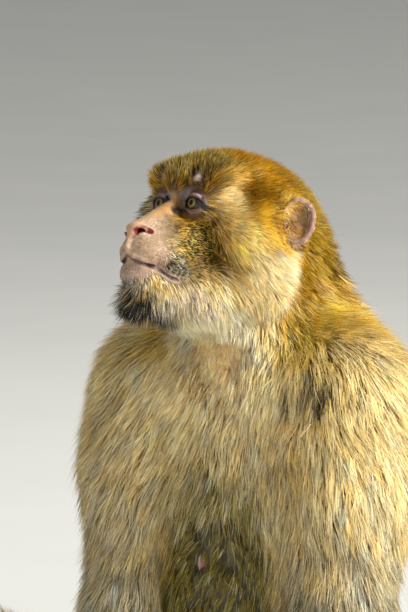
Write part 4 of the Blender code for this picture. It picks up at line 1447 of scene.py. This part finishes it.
def nails(material):
    """A nail over the end of every finger and toe, as one piece."""
    spots, turns, sizes = [], [], []
    for side in SIDES:
        hand, foot = HANDS[side], FEET[side]
        ends = [(hand, middle, tip, 4.0) for _, middle, tip in fingers()]
        ends += [(foot, middle, tip, 4.6) for _, middle, tip in toes()]
        ends += [(hand, (-30, -24, 7), (-37, -36, 6), 4.6), (foot, (-33, -52, 8), (-40, -66, 7), 5.6)]
        for place, middle, tip, width in ends:
            start, end = place.point(*middle), place.point(*tip)
            ahead = (end - start).normalized()
            across = ahead.cross(UP).normalized()
            top = across.cross(ahead)
            spots.append(end + top * (width * 1.36 * MM))
            turns.append(Matrix((across, ahead, top)).transposed().to_euler())
            sizes.append(Vector((width * 0.86, 5.6, width)) * MM)
    mesh = bpy.data.meshes.new("nails")
    mesh.from_pydata(spots, [], [])
    for name, values in (("turn", turns), ("size", sizes)):
        layer = mesh.attributes.new(name, "FLOAT_VECTOR", "POINT")
        layer.data.foreach_set("vector", np.array([value[:] for value in values], np.float32).ravel())
    obj = bpy.data.objects.new("nails", mesh)
    bpy.context.scene.collection.objects.link(obj)
    rows = obj.modifiers.new("nail_rows", "NODES")
    rows.node_group = nail_tree()
    values = {"Arch": 0.62, "Thickness": 0.17, "Tip Width": 0.72, "Tip": (0.0, 1.0, -0.62)}
    values["Material"] = material
    for item in rows.node_group.interface.items_tree:
        if item.name in values:
            rows[item.identifier] = values[item.name]
    solid = bpy.data.meshes.new_from_object(obj.evaluated_get(bpy.context.evaluated_depsgraph_get()))
    solid.materials.clear()
    solid.materials.append(material)
    solid.polygons.foreach_set("material_index", np.zeros(len(solid.polygons), np.int32))
    solid.shade_smooth()
    obj.data = solid
    obj.modifiers.clear()
    return obj


def nail_finish():
    material, tree, shader, coordinates = finish("nail_horn", 0.35, Coat_Weight=0.2)
    bands = noise(tree, coordinates, 500.0, 3.0)
    ramp = tree.nodes.new("ShaderNodeValToRGB")
    ramp.color_ramp.elements[0].color = (0.028, 0.02, 0.016, 1)
    ramp.color_ramp.elements[1].color = (0.12, 0.09, 0.07, 1)
    tree.links.new(bands.outputs["Fac"], ramp.inputs["Fac"])
    tree.links.new(ramp.outputs["Color"], shader.inputs["Base Color"])
    bumped(tree, shader, bands.outputs["Fac"], 0.3, 0.0003)
    return material


# ---------------------------------------------------------- the pieces of the coat

# How many of the hairs lead a lock, and how far the others are drawn to them.
HEAD_LOCKS, BODY_LOCKS = (0.08, 0.26), (0.05, 0.36)
# The pieces whose long hairs bend enough to need a ring at the bend.
CURVED = ("coat_chest", "coat_upper_arm", "coat_forearm", "coat_throat")
# Where each part of the coat is worked out, from corner to corner, and on how fine a grid.
HEAD_GRID = ((-0.09, -0.155, 0.330), (0.09, 0.08, 0.520), 0.002)
BODY_GRID = ((-0.27, -0.29, -0.02), (0.27, 0.16, 0.46), 0.004)


def body_zones(roots):
    """Which piece of the body's coat each root belongs to."""
    x, y, z = roots.T
    names = np.where(x > 0.008, "coat_chest_left", "coat_chest_right").astype("<U24")
    names[y > 0.02] = "coat_back"
    for side, label in SIDES.items():
        shoulder, wrist, bend = mirrored(SHOULDER, side), mirrored(WRIST, side), elbow(side)
        hip, ankle, fold = mirrored(HIP, side), mirrored(ANKLE, side), knee(side)
        lines = {
            "coat_upper_arm_" + label: (shoulder, bend, 0.040),
            "coat_forearm_" + label: (bend, wrist, 0.034),
            "coat_thigh_" + label: (hip.lerp(fold, 0.2), fold, 0.058),
            "coat_shin_" + label: (fold, ankle, 0.036),
        }
        for name, (start, end, reach) in lines.items():
            names[off_line(roots, np.array(start), np.array(end - start)) < reach] = name
    names[(z < 0.045) & (y < -0.09)] = "coat_hands_feet"
    return names


def head_zones(roots):
    """Which piece of the head's coat each root belongs to."""
    _, y, z = SKULL.local(roots).T
    names = np.where(z > 8, "coat_crown", "coat_cheeks").astype("<U24")
    names[z < -42] = "coat_throat"
    names[(y < -66) & (z < 14)] = "coat_face"
    return names


def coat(points, faces, uv):
    """Every piece of the coat, as named arrays."""
    rng = np.random.default_rng(11)
    centres = points[faces].mean(axis=1)
    above = (centres - np.array(NECK_SEAM)) @ np.array(NECK_SEAM_NORMAL) > 0.0
    masses = dressed_masses()
    pieces = []
    for is_head, grid in ((True, HEAD_GRID), (False, BODY_GRID)):
        chosen = above if is_head else ~above
        coating = Coating(masses, *grid)
        roots, places = rooted(points, faces[chosen], uv[chosen], rng)
        marks = painted(roots)
        path = combed(roots, marks, coating, rng)
        path, own = gathered(path, *(HEAD_LOCKS if is_head else BODY_LOCKS), rng)
        colours = shaded(marks, own, rng)
        width = marks["width"][:, 0] * MM * rng.uniform(0.6, 1.25, len(roots))
        names = head_zones(roots) if is_head else body_zones(roots)
        for name in sorted(set(names)):
            mine = names == name
            curved = name.startswith(CURVED)
            made = tuft_mesh(path[mine], width[mine], colours[mine], places[mine], curved)
            pieces.append((name, made))
    return pieces


def slot_of(name):
    """The material slot of a piece of the coat."""
    if name.startswith(("coat_crown", "coat_cheeks", "coat_throat", "coat_face")):
        return "crown_fur"
    if name.startswith(("coat_forearm", "coat_shin", "coat_hands")):
        return "limb_fur"
    return "mantle_fur"


# --------------------------------------------------------- the camera and the lights

# What the camera looks at, from where, and how tall the picture is there.
VIEW_POINT = Vector((-0.0198, -0.0427, 0.3889))
VIEW_TURN, VIEW_LIFT = math.radians(30), math.radians(8)
VIEW_DISTANCE = 3.5
VIEW_HEIGHT = 0.396
SENSOR = 36.0


def add_light(name, spot, size, power, colour):
    light = bpy.data.lights.new(name, "AREA")
    light.shape = "DISK"
    light.size = size
    light.energy = power
    light.color = colour
    obj = bpy.data.objects.new(name, light)
    obj.location = spot
    obj.rotation_euler = (VIEW_POINT - Vector(spot)).to_track_quat("-Z", "Y").to_euler()
    bpy.context.scene.collection.objects.link(obj)


def camera_and_light():
    """The camera, a warm sun-side lamp with two weaker ones, and the pale floor."""
    towards = Vector((
        math.sin(VIEW_TURN) * math.cos(VIEW_LIFT),
        -math.cos(VIEW_TURN) * math.cos(VIEW_LIFT),
        math.sin(VIEW_LIFT),
    ))
    right = Vector((math.cos(VIEW_TURN), math.sin(VIEW_TURN), 0))
    data = bpy.data.cameras.new("camera")
    data.sensor_fit = "VERTICAL"
    data.sensor_height = SENSOR
    data.lens = SENSOR * VIEW_DISTANCE / VIEW_HEIGHT
    data.clip_end = 100.0
    camera = bpy.data.objects.new("camera", data)
    camera.location = VIEW_POINT + towards * VIEW_DISTANCE
    camera.rotation_euler = (-towards).to_track_quat("-Z", "Y").to_euler()
    bpy.context.scene.collection.objects.link(camera)
    bpy.context.scene.camera = camera
    bpy.context.scene.view_settings.view_transform = "Standard"

    flat = Vector((towards.x, towards.y, 0)).normalized()
    key_spot = VIEW_POINT + (right * 2.1 + flat * 1.1 + UP * 1.15) * 2.6
    add_light("key", key_spot, 2.6, 1080, (1.0, 0.97, 0.90))
    add_light("fill", VIEW_POINT - right * 2.8 + flat * 2.4 + UP * 0.6, 3.0, 52, (0.97, 0.98, 1.0))
    add_light("rim", VIEW_POINT + right * 0.6 - flat * 1.8 + UP * 1.6, 1.0, 26, (1.0, 0.97, 0.92))
    world = bpy.data.worlds.new("studio")
    world.use_nodes = True
    world.node_tree.nodes["Background"].inputs["Color"].default_value = (0.95, 0.95, 0.93, 1)
    world.node_tree.nodes["Background"].inputs["Strength"].default_value = 0.38
    bpy.context.scene.world = world

    material, tree, shader, coordinates = finish("pale_floor", 0.85)
    grain = noise(tree, coordinates, 6.0, 3.0)
    ramp = tree.nodes.new("ShaderNodeValToRGB")
    ramp.color_ramp.elements[0].color = (0.50, 0.51, 0.50, 1)
    ramp.color_ramp.elements[1].color = (0.56, 0.56, 0.545, 1)
    tree.links.new(grain.outputs["Fac"], ramp.inputs["Fac"])
    tree.links.new(ramp.outputs["Color"], shader.inputs["Base Color"])
    corners = np.array([(-30, -30, 0), (30, -30, 0), (30, 30, 0), (-30, 30, 0)], float)
    floor = shown("floor", corners, np.array([(0, 1, 2), (0, 2, 3)]), material=material)
    floor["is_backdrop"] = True


# ------------------------------------------------------------- the finished animal


def main():
    """Builds every piece, puts each on the body and hides the nodes that it replaces."""
    camera_and_light()
    points, faces = skin_shape()
    marks = painted(points)
    skin = shown("skin", points, faces, colours=marks["skin"], material=skin_finish())
    uv = unwrapped(skin)
    eyes = eye_finish()
    for side, name in SIDES.items():
        obj = eyeball(side, "eyeball_" + name, eyes)
        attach(obj, "root")
        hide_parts("eye_" + name)
    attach(skin, "root")
    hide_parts(*[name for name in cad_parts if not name.startswith("eye")])
    claws = nails(nail_finish())
    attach(claws, "root")
    fur = fur_finish("fur", 0.60)
    for name, (corners, triangles, colours, flat) in coat(points, faces, uv):
        obj = shown(name, corners, triangles, colours, flat[triangles.ravel()], fur, smooth=False)
        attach(obj, "root")
        slot_of(name)


main()
dressed_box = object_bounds()
boxes = {"solids": solid_box, "dressed": dressed_box}
{name: [list(map(float, corner)) for corner in box] for name, box in boxes.items()}
